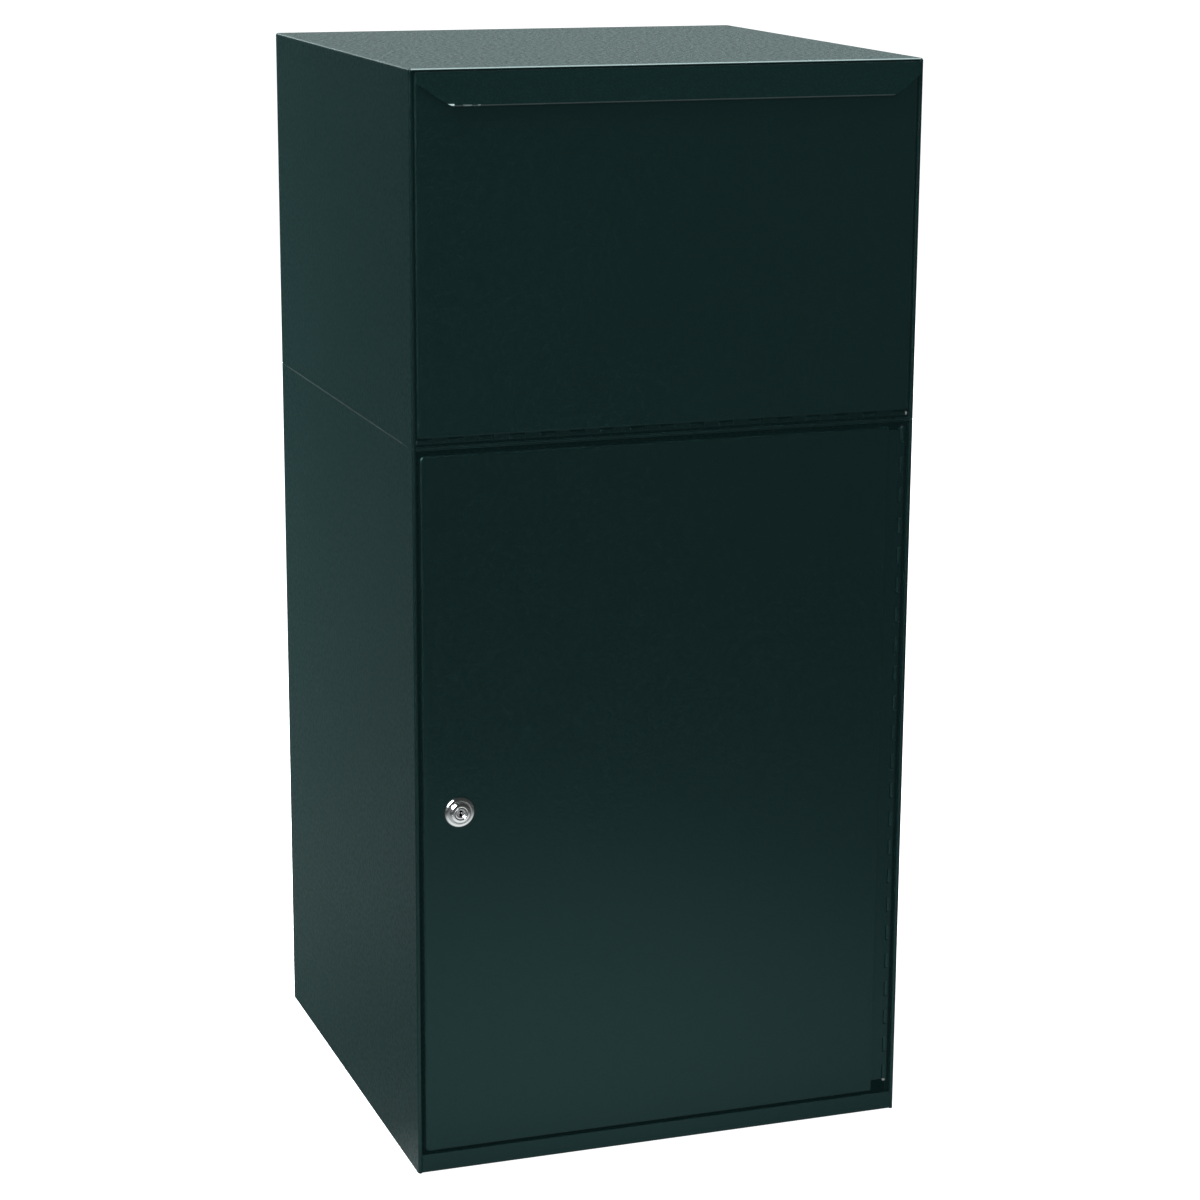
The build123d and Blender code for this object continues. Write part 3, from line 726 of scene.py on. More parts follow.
class DropBoxPaint(bpy.types.PropertyGroup):
    paint: tone("Paint", "Colour of the powder coat on flat steel", (0.0016, 0.0052, 0.0051))
    # Paler colour over edges: partly the coat drawing thin there, partly a painted highlight.
    thin_paint_and_highlight: tone(
        "Thin paint and highlight", "Colour of the coat where it draws thin over an edge", (0.0022, 0.0072, 0.0070)
    )
    door_share: factor(
        "Door share", "Lightness of the service door's coat, from another batch", 0.7, 5.0
    )
    # Painted shade: how far the coat on the strips between the doors is darkened, for the shade in
    # that recessed band.
    seam_shade_share: factor(
        "Seam shade share", "Lightness of the coat on the strips between the doors", 0.25, 5.0
    )
    # Painted light: the pull's coat is made lighter for the light its upward-tilted flap catches.
    pull_light_share: factor("Pull light share", "Lightness of the pull's coat against the rest", 2.1, 5.0)
    shadow_lift: tone(
        "Shadow lift",
        "Faint light of the coat's own that keeps its gaps from closing up to black",
        (0.0025, 0.0068, 0.0068),
        0.02,
    )
    roughness: factor("Roughness", "How matt the coat is", 0.36)
    peel_size: length(
        "Orange peel size", "From one dimple of the orange peel to the next", 3.4, 0.1
    )
    peel_depth: length("Orange peel depth", "Depth of the orange peel", 0.3)
    peel_strength: factor(
        "Orange peel strength", "How strongly the orange peel turns the light", 0.6
    )
    edge_radius: length("Edge radius", "How far the coat rounds over an edge of the sheet", 0.7)
    roof_peel_share: factor(
        "Roof peel share", "Depth of the orange peel on the roof against the rest", 2.5, 5.0
    )
    # Painted highlights: the colour, softness and run length of the pale runs laid along edges that
    # catch the light.
    highlight_colour: tone(
        "Highlight colour",
        "Colour of an edge that is rubbed through to the pale ground under the coat",
        (0.60, 0.78, 0.78),
    )
    highlight_softness: length(
        "Highlight softness", "How softly a rubbed edge fades into the coat", 0.2, 0.01
    )
    highlight_run_size: length(
        "Highlight run size", "Length of the runs in which a rubbed edge is paler or darker", 6, 0.1
    )


class DropBoxHinges(bpy.types.PropertyGroup):
    knuckle_pitch: length(
        "Knuckle pitch", "From one knuckle to the next, before a whole number is fitted", 12.7, 2
    )
    knuckle_gap: length("Knuckle gap", "Open space between two knuckles", 0.25)
    leaf_thickness: length("Leaf thickness", "Thickness of the hinge leaves", 1.5, 0.1)
    barrel_radius: length("Barrel radius", "Outside radius of the rolled knuckles", 3.1, 0.1)
    bare_end: length(
        "Bare end", "Length of pin that shows past the last knuckle, at the right or the foot", 2.2
    )
    pin_proud: length("Pin proud", "How far each pin stands past the ends of its leaves", 0.6)
    barrel_clearance: length(
        "Barrel clearance", "From a leaf's edge to the other leaf's knuckles", 0.4
    )
    weld_spacing: length(
        "Weld spacing", "About how far apart the spot welds along a leaf are", 48, 5
    )


class DropBoxDoors(bpy.types.PropertyGroup):
    sheet: length("Sheet", "Thickness of the doors' steel", 1.5, 0.1)
    bend_radius: length("Bend radius", "Outside radius of the doors' folds", 2.0, 0.1)
    corner_radius: length(
        "Service door corner", "Radius of the service door's two welded corners", 4.0
    )
    hopper_corner_radius: length(
        "Hopper door corner", "Radius of the hopper door's upper corners", 3.0
    )
    lock_hole: length("Lock hole", "Diameter of the hole for the lock", 19.2)
    dent_place: FloatVectorProperty(
        name="Dent place",
        description="Where the hopper door's small dent is, across and up",
        unit="LENGTH",
        size=2,
        default=(-58 * MM, 660.6 * MM),
    )
    dent_width: length("Dent width", "Width of the small dent", 22, 1)
    dent_depth: length("Dent depth", "Depth of the small dent", 0.35, 0.01)


class DropBoxPull(bpy.types.PropertyGroup):
    sheet: length("Pull sheet", "Thickness of the pull's steel", 1.5, 0.1)
    bend_radius: length(
        "Pull bend radius", "Outside radius of the fold along the pull's top", 2.2, 0.1
    )
    land: length("Land", "Height of the strip that lies against the door, below the fold", 9.0)
    end_rise: length("End rise", "How far up each sloping end reaches", 19.3)
    end_run: length("End run", "How far in each sloping end reaches", 27.0)
    end_radius: length(
        "End radius", "Radius where each sloping end runs into the lower edge", 45.0
    )
    bend_steps: number("Bend steps", "Facets round the fold", 14, 4)
    flap_rows: number(
        "Flap rows", "Rows of faces down the flap, which its sloping ends follow", 22, 4
    )
    edge_steps: number("Edge steps", "Facets round the lower edge", 6, 2)
    columns: number("Columns", "Columns of faces across the pull", 12, 1)


class DropBoxRoof(bpy.types.PropertyGroup):
    sheet: length("Roof sheet", "Thickness of the roof's steel", 1.5, 0.1)
    roll: length("Roll", "How far in from its edges the roof starts to roll over", 2.0, 0.1)
    roll_steps: number("Roll steps", "Facets round the rolled edge", 7, 2)
    corner_radius: length(
        "Roof corner", "Radius of the roof's corners, seen from above", 3.0, 0.1
    )
    seam_break: length(
        "Seam break", "Small break along the roof's lower edge, over the walls", 0.25, 0.01
    )
    flange_start: length("Flange start", "From the roof's front edge to its side flanges", 150.0)
    flange_inset: length(
        "Flange inset", "From the roof's corners to the ends of its flanges", 3.5
    )


class DropBoxLock(bpy.types.PropertyGroup):
    face_radius: length(
        "Face radius", "Radius of the lock's raised face and of its threaded body", 9.5, 1
    )
    bezel_thickness: length(
        "Bezel thickness", "Thickness of the ring that rests on the door", 2.2, 0.1
    )
    bore_radius: length("Bore radius", "Radius of the housing's bore round the plug", 5.05, 0.1)
    groove: length(
        "Groove", "Width of the groove between the raised face and the outer ring", 0.8, 0.01
    )
    face_drop: length(
        "Face drop", "How far the raised face falls away towards its rim", 1.5, 0.01
    )
    bezel_drop: length(
        "Ring drop", "How far the outer ring falls away towards its rim", 1.7, 0.01
    )
    dish: length("Dish", "Depth of the dish round the keyway", 0.45, 0.01)
    dish_radius: length("Dish radius", "Radius of the flat round the keyway", 3.2, 0.1)
    polished_edge: length("Polished edge", "How far the polishing rounds each edge", 0.25, 0.01)
    keyway_width: length("Keyway width", "Width of the keyway", 2.6, 0.1)
    keyway_height: length("Keyway height", "Height of the keyway", 5.4, 0.1)
    keyway_depth: length("Keyway depth", "Depth of the keyway", 12.0, 0.1)
    thread_pitch: length("Body thread pitch", "Pitch of the thread on the lock's body", 1.0, 0.1)


class DropBoxFixings(bpy.types.PropertyGroup):
    bolt_across_flats: length(
        "Across flats", "Width of the bolt heads and nuts across their flats", 10, 1
    )
    bolt_head_height: length("Head height", "Height of the bolt heads", 4, 0.1)
    bolt_diameter: length("Bolt diameter", "Diameter of the bolts' shanks", 6, 0.1)
    thread_pitch: length("Bolt thread pitch", "Pitch of the bolts' threads", 0.8, 0.1)
    hopper_bumper_length: length(
        "Hopper bumper length", "Length of each pad behind the hopper door", 60, 1
    )
    door_bumper_length: length(
        "Door bumper length", "Length of each pad behind the service door", 24, 1
    )
    bumper_edge: length("Bumper edge", "Rounding of the bumpers' moulded edges", 1.1, 0.01)


class DropBoxStage(bpy.types.PropertyGroup):
    floor_colour: tone("Floor", "Colour of the floor under the box", (0.82, 0.82, 0.82))
    # Centre of the floor's painted pool of light, which only gloss sees.
    painted_pool_centre: FloatVectorProperty(
        name="Painted pool",
        description="Where the lamps make the floor brightest",
        subtype="TRANSLATION",
        unit="LENGTH",
        default=(-0.08, -0.49, 0.0),
    )
    ambient: strength("Ambient light", "Level of the even light from all round", 0.4)
    room: strength(
        "Room", "Level of the dark room in the gloss, away from its bright wall and cards", 0.04
    )
    screen: strength(
        "Screen", "Level of the broad screen low at the front left, which bent edges catch", 0.15
    )
    screen_way: direction(
        "Screen direction", "Where the middle of the screen lies from the box", (-0.75, -0.65, 0.12)
    )
    card: strength("Card", "Level of the small bright card that the chrome catches", 14.0)
    card_way: direction(
        "Card direction", "Where the middle of the card lies from the box", (-0.62, -0.48, 0.62)
    )
    key: strength(
        "Front lamp", "Power of the lamp beside the camera, which lights the gaps too", 80.0, "POWER"
    )
    # Painted shadow of the box in the floor's gloss: how much of the painted pool is left beside and
    # behind it.
    shade: factor(
        "Shade", "Share of the pool's gloss that is left beside and behind the box", 0.25
    )
    back_tint: tone("Back tint", "Colour of the far wall that the roof mirrors", (0.74, 1.0, 0.98))
    camera_glow: strength("Floor glow", "Lift that makes the open floor white to the camera", 0.80)
    side: strength("Side lamp", "Power of the low lamp at the box's left", 96.0, "POWER")
    fill: strength("Rear lamp", "Power of the large lamp behind the box", 90.0, "POWER")


# ---- Operators ----


class DROPBOX_OT_cad_finishes(bpy.types.Operator):
    """Paint, plate or mould the finish of every steel and rubber part"""

    bl_idname = "dropbox.cad_finishes"
    bl_label = "Finish the parts"

    def execute(self, context):
        paint = context.scene.dropbox_paint
        coat = powder_coat(paint, "green_black_powder_coat")
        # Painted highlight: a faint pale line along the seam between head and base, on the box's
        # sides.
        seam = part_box("head_shell")[0].z
        left_front = (CAD_LOW.x - MM, CAD_LOW.y + 42 * MM, seam - 0.8 * MM)
        right_back = (CAD_HIGH.x + MM, CAD_HIGH.y - 24 * MM, seam + 0.5 * MM)
        paint_highlight_runs(coat, paint, left_front, right_back, share=0.02)
        FINISHES["powder_coat"] = coat
        FINISHES["door_coat"] = powder_coat(paint, "service_door_powder_coat", paint.door_share)
        # Painted shade: a darker copy of the coat for the band between the doors.
        FINISHES["seam_shaded_coat"] = powder_coat(paint, "seam_shaded_powder_coat", paint.seam_shade_share)
        # Painted light: a lighter copy of the coat for the pull, whose flap faces up into the light.
        FINISHES["pull_coat"] = powder_coat(
            paint,
            "hopper_pull_lit_powder_coat",
            paint.pull_light_share,
            peel_share=0.4,
            matt_range=0.05,
            gloss=0.1,
        )
        FINISHES["zinc_steel"] = zinc_plate()
        FINISHES["pin_steel"] = burnished_steel()
        FINISHES["chrome"] = chrome_plate()
        FINISHES["rubber"] = moulded_rubber()
        for slot, names in FINISHED_NODES.items():
            for name in names:
                finish(NODES[name].data, FINISHES[slot])
        return {"FINISHED"}


class DROPBOX_OT_hinges(bpy.types.Operator):
    """Roll the two piano hinges, a leaf at a time"""

    bl_idname = "dropbox.hinges"
    bl_label = "Roll the piano hinges"

    def execute(self, context):
        settings = context.scene.dropbox_hinges
        tree = hinge_leaf_tree()
        # bare_end is 1 where the pin shows at the low end of its axis, and -1 at the high end.
        for joint, fixed, moving, pin, along, door_way, bare_end in (
            (
                "service_door_swing", "door_hinge_jamb_leaf", "door_hinge_door_leaf",
                "door_hinge_pin", 2, (-1, 0, 0), 1,
            ),
            (
                "hopper_tip", "hopper_hinge_sill_leaf", "hopper_hinge_door_leaf",
                "hopper_hinge_pin", 0, (0, 0, 1), -1,
            ),
        ):
            start, end = (corner[along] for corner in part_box(fixed))
            axis = Vector(JOINTS[joint]["pos_m"])
            axis[along] = (end + start) / 2
            barrel = end - start - settings.bare_end
            knuckles = 2 * round((barrel / settings.knuckle_pitch - 1) / 2) + 1
            pitch = barrel / knuckles
            for node, body, way, up, first, weld_share in (
                (fixed, "cabinet", (0, 1, 0), 1, 0.5, 0.62),
                (moving, JOINTS[joint]["child"], door_way, -1, 1.5, 0.72),
            ):
                low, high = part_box(node)
                across = [abs(c) for c in way].index(1)
                reach = max(abs(corner[across] - axis[across]) for corner in (low, high))
                leaf_length = high[along] - low[along]
                welds = floor(leaf_length / settings.weld_spacing)
                shift = settings.bare_end / 2 * bare_end * up
                sizes = {
                    "Leaf length": leaf_length,
                    "Leaf width": reach,
                    "Leaf thickness": settings.leaf_thickness,
                    "Barrel radius": settings.barrel_radius,
                    "Knuckle pitch": pitch,
                    "Knuckle gap": settings.knuckle_gap,
                    "First knuckle": pitch * first - barrel / 2 + shift,
                    "Leaf start": settings.barrel_radius + settings.barrel_clearance,
                    "Weld spacing": leaf_length / welds,
                    "Weld row": reach * weld_share,
                    "Knuckles": (knuckles + up) // 2,
                    "Welds": welds,
                }
                upwards = [0, 0, 0]
                upwards[along] = up
                # Each leaf keeps its part's coat; the hopper hinge's coat is darkened as painted
                # shade.
                coat = NODES[node].data.materials[0]
                piece = grow(node + "_rolled", tree, coat, sizes, axes(axis, way, upwards))
                dress(piece, body, coat, "powder_coat", node)
            axis[along] = 0.0
            if bare_end > 0:
                self.pin(pin, axis, along, start - settings.pin_proud, end)
            else:
                self.pin(pin, axis, along, start, end + settings.pin_proud)
        return {"FINISHED"}

    def pin(self, node, axis, along, start, end, steps=6):
        """Bright pin through the knuckles, domed where it shows past them."""
        low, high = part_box(node)
        radius = (high - low)[(along + 1) % 3] / 2
        crown = 0.45 * radius
        turns = [pi / 2 * n / steps for n in range(steps)]
        dome = [(radius * cos(turn), crown * sin(turn)) for turn in turns]
        profile = [(0.0, start), (0.0, end)]
        profile += [(r, end - crown + h) for r, h in reversed(dome)]
        profile += [(r, start + crown - h) for r, h in dome]
        place = axes(axis, (0, 1, 0), (1, 0, 0)) if along == 0 else Matrix.Translation(axis)
        piece = lathe(node + "_drawn", profile, 32, place)
        dress(piece, "cabinet", FINISHES["pin_steel"], "zinc_steel", node)


class DROPBOX_OT_doors(bpy.types.Operator):
    """Fold the service door and the hopper door"""

    bl_idname = "dropbox.doors"
    bl_label = "Fold the doors"

    def execute(self, context):
        settings = context.scene.dropbox_doors
        sheet, corner = settings.sheet, settings.corner_radius
        door = folded_door("service_door", settings, (corner, 0.0, 0.0, corner), 0, 1)
        hole = settings.lock_hole / 2
        drill = [(0.0, -2 * sheet), (hole, -2 * sheet), (hole, sheet), (0.0, sheet)]
        cut(door, lathe("lock_hole", drill, 64, facing_front(JOINTS["lock_turn"]["pos_m"])))
        dress(door, "service_door", FINISHES["door_coat"], "powder_coat", "service_door")

        corner = settings.hopper_corner_radius
        hopper = folded_door("hopper_door", settings, (0.0, 0.0, corner, corner), 2, 0)
        dent, depth, steps = settings.dent_width / 2, settings.dent_depth, 8
        sphere = (dent**2 + depth**2) / (2 * depth)
        turns = [asin(dent / sphere) * n / steps for n in range(steps + 1)]
        bowl = [(sphere * sin(turn), sphere * (1 - cos(turn)) - depth) for turn in turns]
        bowl += [(dent, sheet), (0.0, sheet)]
        across, up = settings.dent_place
        place = facing_front((across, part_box("hopper_door")[0].y, up))
        cut(hopper, lathe("dent", bowl, 48, place))
        dress(hopper, "hopper", FINISHES["powder_coat"], "powder_coat", "hopper_door")
        return {"FINISHED"}


class DROPBOX_OT_pull(bpy.types.Operator):
    """Fold the hopper door's pull, with its sloping ends"""

    bl_idname = "dropbox.pull"
    bl_label = "Fold the pull"

    def execute(self, context):
        settings = context.scene.dropbox_pull
        low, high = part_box("hopper_pull")
        half, sheet = (high.x - low.x) / 2, settings.sheet
        outer, inner = self.skins(settings, low, high)
        middle = (outer[-1] + inner[-1]) / 2
        arm = outer[-1] - middle
        down = Vector((-arm.y, arm.x))
        turns = [pi * n / settings.edge_steps for n in range(1, settings.edge_steps)]
        lip = [middle + arm * cos(turn) - down * sin(turn) for turn in turns]
        loop = outer + lip + inner[::-1]
        reaches = [self.reach(settings, half, at.y - low.z) for at in loop]
        shape = bmesh.new()
        rings = []
        for column in range(settings.columns + 1):
            share = 2 * column / settings.columns - 1
            row = [(share * reach, at.x, at.y) for reach, at in zip(reaches, loop)]
            rings.append([shape.verts.new(corner) for corner in row])
        add_walls(shape, rings)
        for ring in (rings[0], rings[-1]):
            for n in range(len(outer) - 1):
                shape.faces.new((ring[n], ring[n + 1], ring[-2 - n], ring[-1 - n]))
            shape.faces.new(ring[len(outer) - 1:len(outer) + len(lip) + 1])
        mesh = mesh_of(shape, "hopper_pull_folded")
        tidy_mesh(mesh)
        coat = FINISHES["pull_coat"]
        end = half - settings.end_run
        # Each run of painted highlight, along the lower edge and as glints at its left end: from and
        # to across, its height, how pale it is and how much it covers.
        for left, right, height, share, cover in (
            (-end, end, 1.5 * MM, 0.10, 0.80),
            (-end, -end + 22 * MM, 1.8 * MM, 0.4, 0.14),
            (-end - 8 * MM, -end + 1 * MM, 2.5 * MM, 0.9, 0.35),
        ):
            start = (left, low.y - sheet, low.z - sheet)
            stop = (right, high.y, low.z + height)
            paint_highlight_runs(coat, context.scene.dropbox_paint, start, stop, share, cover)
        dress(new_piece(mesh.name, mesh), "hopper", coat, "powder_coat", "hopper_pull")
        return {"FINISHED"}

    def skins(self, settings, low, high):
        """The pull's outer and inner lines in y and z, from its land over the fold to its edge."""
        radius, tip = settings.bend_radius, settings.sheet / 2
        bend_y, bend_z = high.y - radius, high.z - radius
        out, fall = bend_y - (low.y + tip), bend_z - (low.z + tip)
        tilt = asin(out / hypot(out, fall)) - asin((radius - tip) / hypot(out, fall))
        outer = [Vector((high.y, bend_z - settings.land))]
        for n in range(settings.bend_steps + 1):
            angle = (pi - tilt) * n / settings.bend_steps
            outer.append(Vector((bend_y + radius * cos(angle), bend_z + radius * sin(angle))))
        flap_top = outer[-1]
        flap_tip = Vector((low.y + tip, low.z + tip)) + tip * Vector((-cos(tilt), sin(tilt)))
        for n in range(1, settings.flap_rows + 1):
            outer.append(flap_top.lerp(flap_tip, n / settings.flap_rows))
        inner = []
        for before, at, after in zip(outer[:1] + outer, outer, outer[1:] + outer[-1:]):
            along = (after - before).normalized()
            inner.append(at + settings.sheet * Vector((-along.y, along.x)))
        return outer, inner

    def reach(self, settings, half, rise):
        """Half the pull's width at a height above its lower edge."""
        slope = settings.end_rise / settings.end_run
        rise += settings.sheet
        if rise >= settings.end_rise:
            return half
        corner = settings.end_radius
        tangent = corner * tan(atan(slope) / 2)
        if rise >= tangent * sin(atan(slope)):
            return half - settings.end_run + rise / slope
        return half - settings.end_run - tangent + sqrt(corner**2 - (corner - max(rise, 0.0)) ** 2)


class DROPBOX_OT_roof(bpy.types.Operator):
    """Press the roof panel, with its rolled edges and its flanges"""

    bl_idname = "dropbox.roof"
    bl_label = "Press the roof"

    def execute(self, context):
        settings = context.scene.dropbox_roof
        low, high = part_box("roof_panel")
        sheet, roll, seam = settings.sheet, settings.roll, settings.seam_break
        under = high.z - sheet
        levels = [(seam, 0.0), (0.0, seam)]
        for n in range(settings.roll_steps + 1):
            turn = pi / 2 * n / settings.roll_steps
            height = 1.2 * seam + (sheet - 1.2 * seam) * sin(turn)
            levels.append((roll * (1 - cos(turn)), height))
        shape = bmesh.new()
        rings = []
        for inset, height in levels:
            start = (low.x + inset, low.y + inset)
            stop = (high.x - inset, high.y - inset)
            radius = max(settings.corner_radius - inset, 0.2 * MM)
            outline = rounded_rectangle(start, stop, [radius] * 4)
            rings.append([shape.verts.new((x, y, under + height)) for x, y in outline])
        add_walls(shape, rings)
        shape.faces.new(rings[0][::-1])
        inner = [shape.verts.new((v.co.x * 0.985, v.co.y * 0.985, v.co.z)) for v in rings[-1]]
        add_walls(shape, [rings[-1], inner])
        shape.faces.new(inner)
        start, back = low.y + settings.flange_start, high.y - settings.flange_inset
        left, right = low.x + settings.flange_inset, high.x - settings.flange_inset
        for x0, x1, y0, y1 in (
            (low.x + sheet, low.x + 2 * sheet, start, back),
            (high.x - 2 * sheet, high.x - sheet, start, back),
            (left, right, high.y - 2 * sheet, high.y - sheet),
        ):
            for vert in bmesh.ops.create_cube(shape, size=1.0)["verts"]:
                vert.co.x = x0 if vert.co.x < 0 else x1
                vert.co.y = y0 if vert.co.y < 0 else y1
                vert.co.z = low.z if vert.co.z < 0 else under
        mesh = mesh_of(shape, "roof_panel_rolled")
        tidy_mesh(mesh)
        paint = context.scene.dropbox_paint
        coat = powder_coat(
            paint,
            "roof_powder_coat",
            peel_share=paint.roof_peel_share,
            matt_range=0.34,
            polish=1.0,
        )
        # Painted highlights: a pale line along the roof's front edge, and a fainter one along its
        # left edge.
        lip, over = under + 0.4 * sheet, high.z + sheet
        start, stop = (low.x + roll, low.y - roll, lip), (high.x - roll, low.y + roll * 0.62, over)
        paint_highlight_runs(coat, paint, start, stop)
        start, stop = (low.x - roll, low.y, lip), (low.x + roll * 0.6, high.y - roll, over)
        paint_highlight_runs(coat, paint, start, stop, share=0.25)
        dress(new_piece(mesh.name, mesh), "cabinet", coat, "powder_coat", "roof_panel")
        return {"FINISHED"}


class DROPBOX_OT_lock(bpy.types.Operator):
    """Turn the cam lock's housing and plug, and cut the keyway"""

    bl_idname = "dropbox.lock"
    bl_label = "Turn the cam lock"

    def execute(self, context):
        settings = context.scene.dropbox_lock
        lock_at = JOINTS["lock_turn"]["pos_m"]
        place, front, soft = facing_front(lock_at), lock_at[1], settings.polished_edge
        profile = self.housing_profile(settings, front)
        housing = lathe("lock_housing_turned", profile, 96, place)
        dress(housing, "service_door", FINISHES["chrome"], "chrome", "lock_housing")

        low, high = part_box("lock_plug")
        radius, head = (high.x - low.x) / 2, front - low.y
        cam_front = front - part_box("lock_cam")[0].y
        floor_radius, sunk = settings.dish_radius, head - settings.dish
        profile = [(0.0, sunk), (floor_radius, sunk), (floor_radius + settings.dish, head)]
        profile += [(radius - 2 * soft, head), (radius - 0.6 * soft, head - 0.6 * soft)]
        profile += [(radius, head - 2 * soft), (radius, cam_front), (0.0, cam_front)]
        plug = lathe("lock_plug_turned", profile, 72, place)
        cut(plug, self.keyway(settings, head, place))
        # Painted shade: the plug goes near black behind its dish floor, in the keyway and round its
        # sides.
        bright = chrome_plate("plug_chrome", low.y + settings.dish + soft)
        dress(plug, "lock", bright, "chrome", "lock_plug")
        return {"FINISHED"}

    def housing_profile(self, settings, front):
        """The housing's bore, raised face, groove, outer ring and threaded body."""
        low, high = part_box("lock_housing")
        bezel, rim, back = (high.x - low.x) / 2, front - low.y, front - high.y
        face, lip, bore = settings.face_radius, settings.bezel_thickness, settings.bore_radius
        soft, pitch = settings.polished_edge, settings.thread_pitch
        crown = face - settings.groove
        profile = [(bore, rim - 3 * soft), (bore + 0.6 * soft, rim - 0.6 * soft)]
        profile += self.dome(bore + 2 * soft, crown, rim, settings.face_drop)
        profile += [(crown, lip + soft), (crown + soft, lip - soft), (face, lip - soft)]
        profile += self.dome(face + soft, bezel, lip, settings.bezel_drop)
        profile += [(bezel, 0.0), (face, 0.0)]
        plain = 3 * MM
        for n in range(int((-back - plain) / pitch)):
            top = -plain - n * pitch
            profile += [(face, top), (face - 0.55 * pitch, top - pitch / 2)]
        return profile + [(face - 0.3 * MM, back), (bore, back)]

    def keyway(self, settings, head, place):
        """The warded slot that the key goes into, as a solid to cut with."""
        wide, tall = settings.keyway_width / 2, settings.keyway_height / 2
        wards = (
            (-1, -1), (1, -1), (1, -0.35), (0.5, -0.2), (0.5, 0.15), (1, 0.3), (1, 1), (-1, 1),
            (-1, 0.65), (-0.45, 0.5), (-0.45, 0.1), (-1, -0.05),
        )
        slot = bmesh.new()
        bottom = head - settings.keyway_depth
        corners = [slot.verts.new((x * wide, y * tall, bottom)) for x, y in wards]
        made = bmesh.ops.extrude_face_region(slot, geom=[slot.faces.new(corners)])
        push(slot, made, (0.0, 0.0, settings.keyway_depth + 1 * MM))
        mesh = mesh_of(slot, "keyway")
        mesh.transform(place)
        return new_piece("keyway", mesh)

    def dome(self, inner, outer, top, drop, steps=12):
        """Profile of a ring that falls away ever more steeply towards its outside."""
        last = pi / 2 * 0.8
        profile = []
        for turn in (last * n / steps for n in range(steps + 1)):
            radius = inner + (outer - inner) * sin(turn) / sin(last)
            profile.append((radius, top - drop * (1 - cos(turn)) / (1 - cos(last))))
        return profile


class DROPBOX_OT_fixings(bpy.types.Operator):
    """Set the hexagon bolts and nuts"""

    bl_idname = "dropbox.fixings"
    bl_label = "Set the fixings"

    def execute(self, context):
        settings = context.scene.dropbox_fixings
        zinc = FINISHES["zinc_steel"]
        low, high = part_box("head_bolts")
        nut_low, nut_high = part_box("head_nuts")
        head, edge = settings.bolt_head_height, settings.bolt_across_flats / 2
        columns, rows = (low.x + edge, high.x - edge), (low.y + edge, high.y - edge)
        for node, ending, nut, height, middle in (
            ("head_bolts", "_threaded", False, head, high.z - head / 2),
            (
                "head_nuts", "_chamfered", True, nut_high.z - nut_low.z,
                (nut_high.z + nut_low.z) / 2,
            ),
        ):
            sizes = {
                "Across flats": settings.bolt_across_flats,
                "Height": height,
                "Diameter": settings.bolt_diameter,
                "Shank length": high.z - low.z - head,
                "Thread pitch": settings.thread_pitch,
            }
            places = [(x, y, middle) for x in columns for y in rows]
            piece = grow(node + ending, hex_tree(nut), zinc, sizes, places=places)
            dress(piece, "cabinet", zinc, "zinc_steel", node)
        return {"FINISHED"}


class DROPBOX_OT_bumpers(bpy.types.Operator):
    """Mould the rubber bumpers behind both doors"""

    bl_idname = "dropbox.bumpers"
    bl_label = "Mould the bumpers"

    def execute(self, context):
        tree = pad_tree()
        rubber = FINISHES["rubber"]
        settings = context.scene.dropbox_fixings
        for node, along, pad_length in (
            ("hopper_bumpers", 0, settings.hopper_bumper_length),
            ("door_bumpers", 2, settings.door_bumper_length),
        ):
            low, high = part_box(node)
            size = high - low
            size[along] = pad_length
            places = []
            for end in (low[along] + pad_length / 2, high[along] - pad_length / 2):
                place = (low + high) / 2
                place[along] = end
                places.append(place)
            sizes = dict(zip(("Width", "Depth", "Height"), size))
            piece = grow(node + "_moulded", tree, rubber, sizes, places=places)
            soften = piece.modifiers.new("moulded_edge", "BEVEL")
            soften.width = settings.bumper_edge
            soften.segments = 4
            tidy_mesh(settle(piece))
            dress(piece, "cabinet", rubber, "rubber", node)
        return {"FINISHED"}


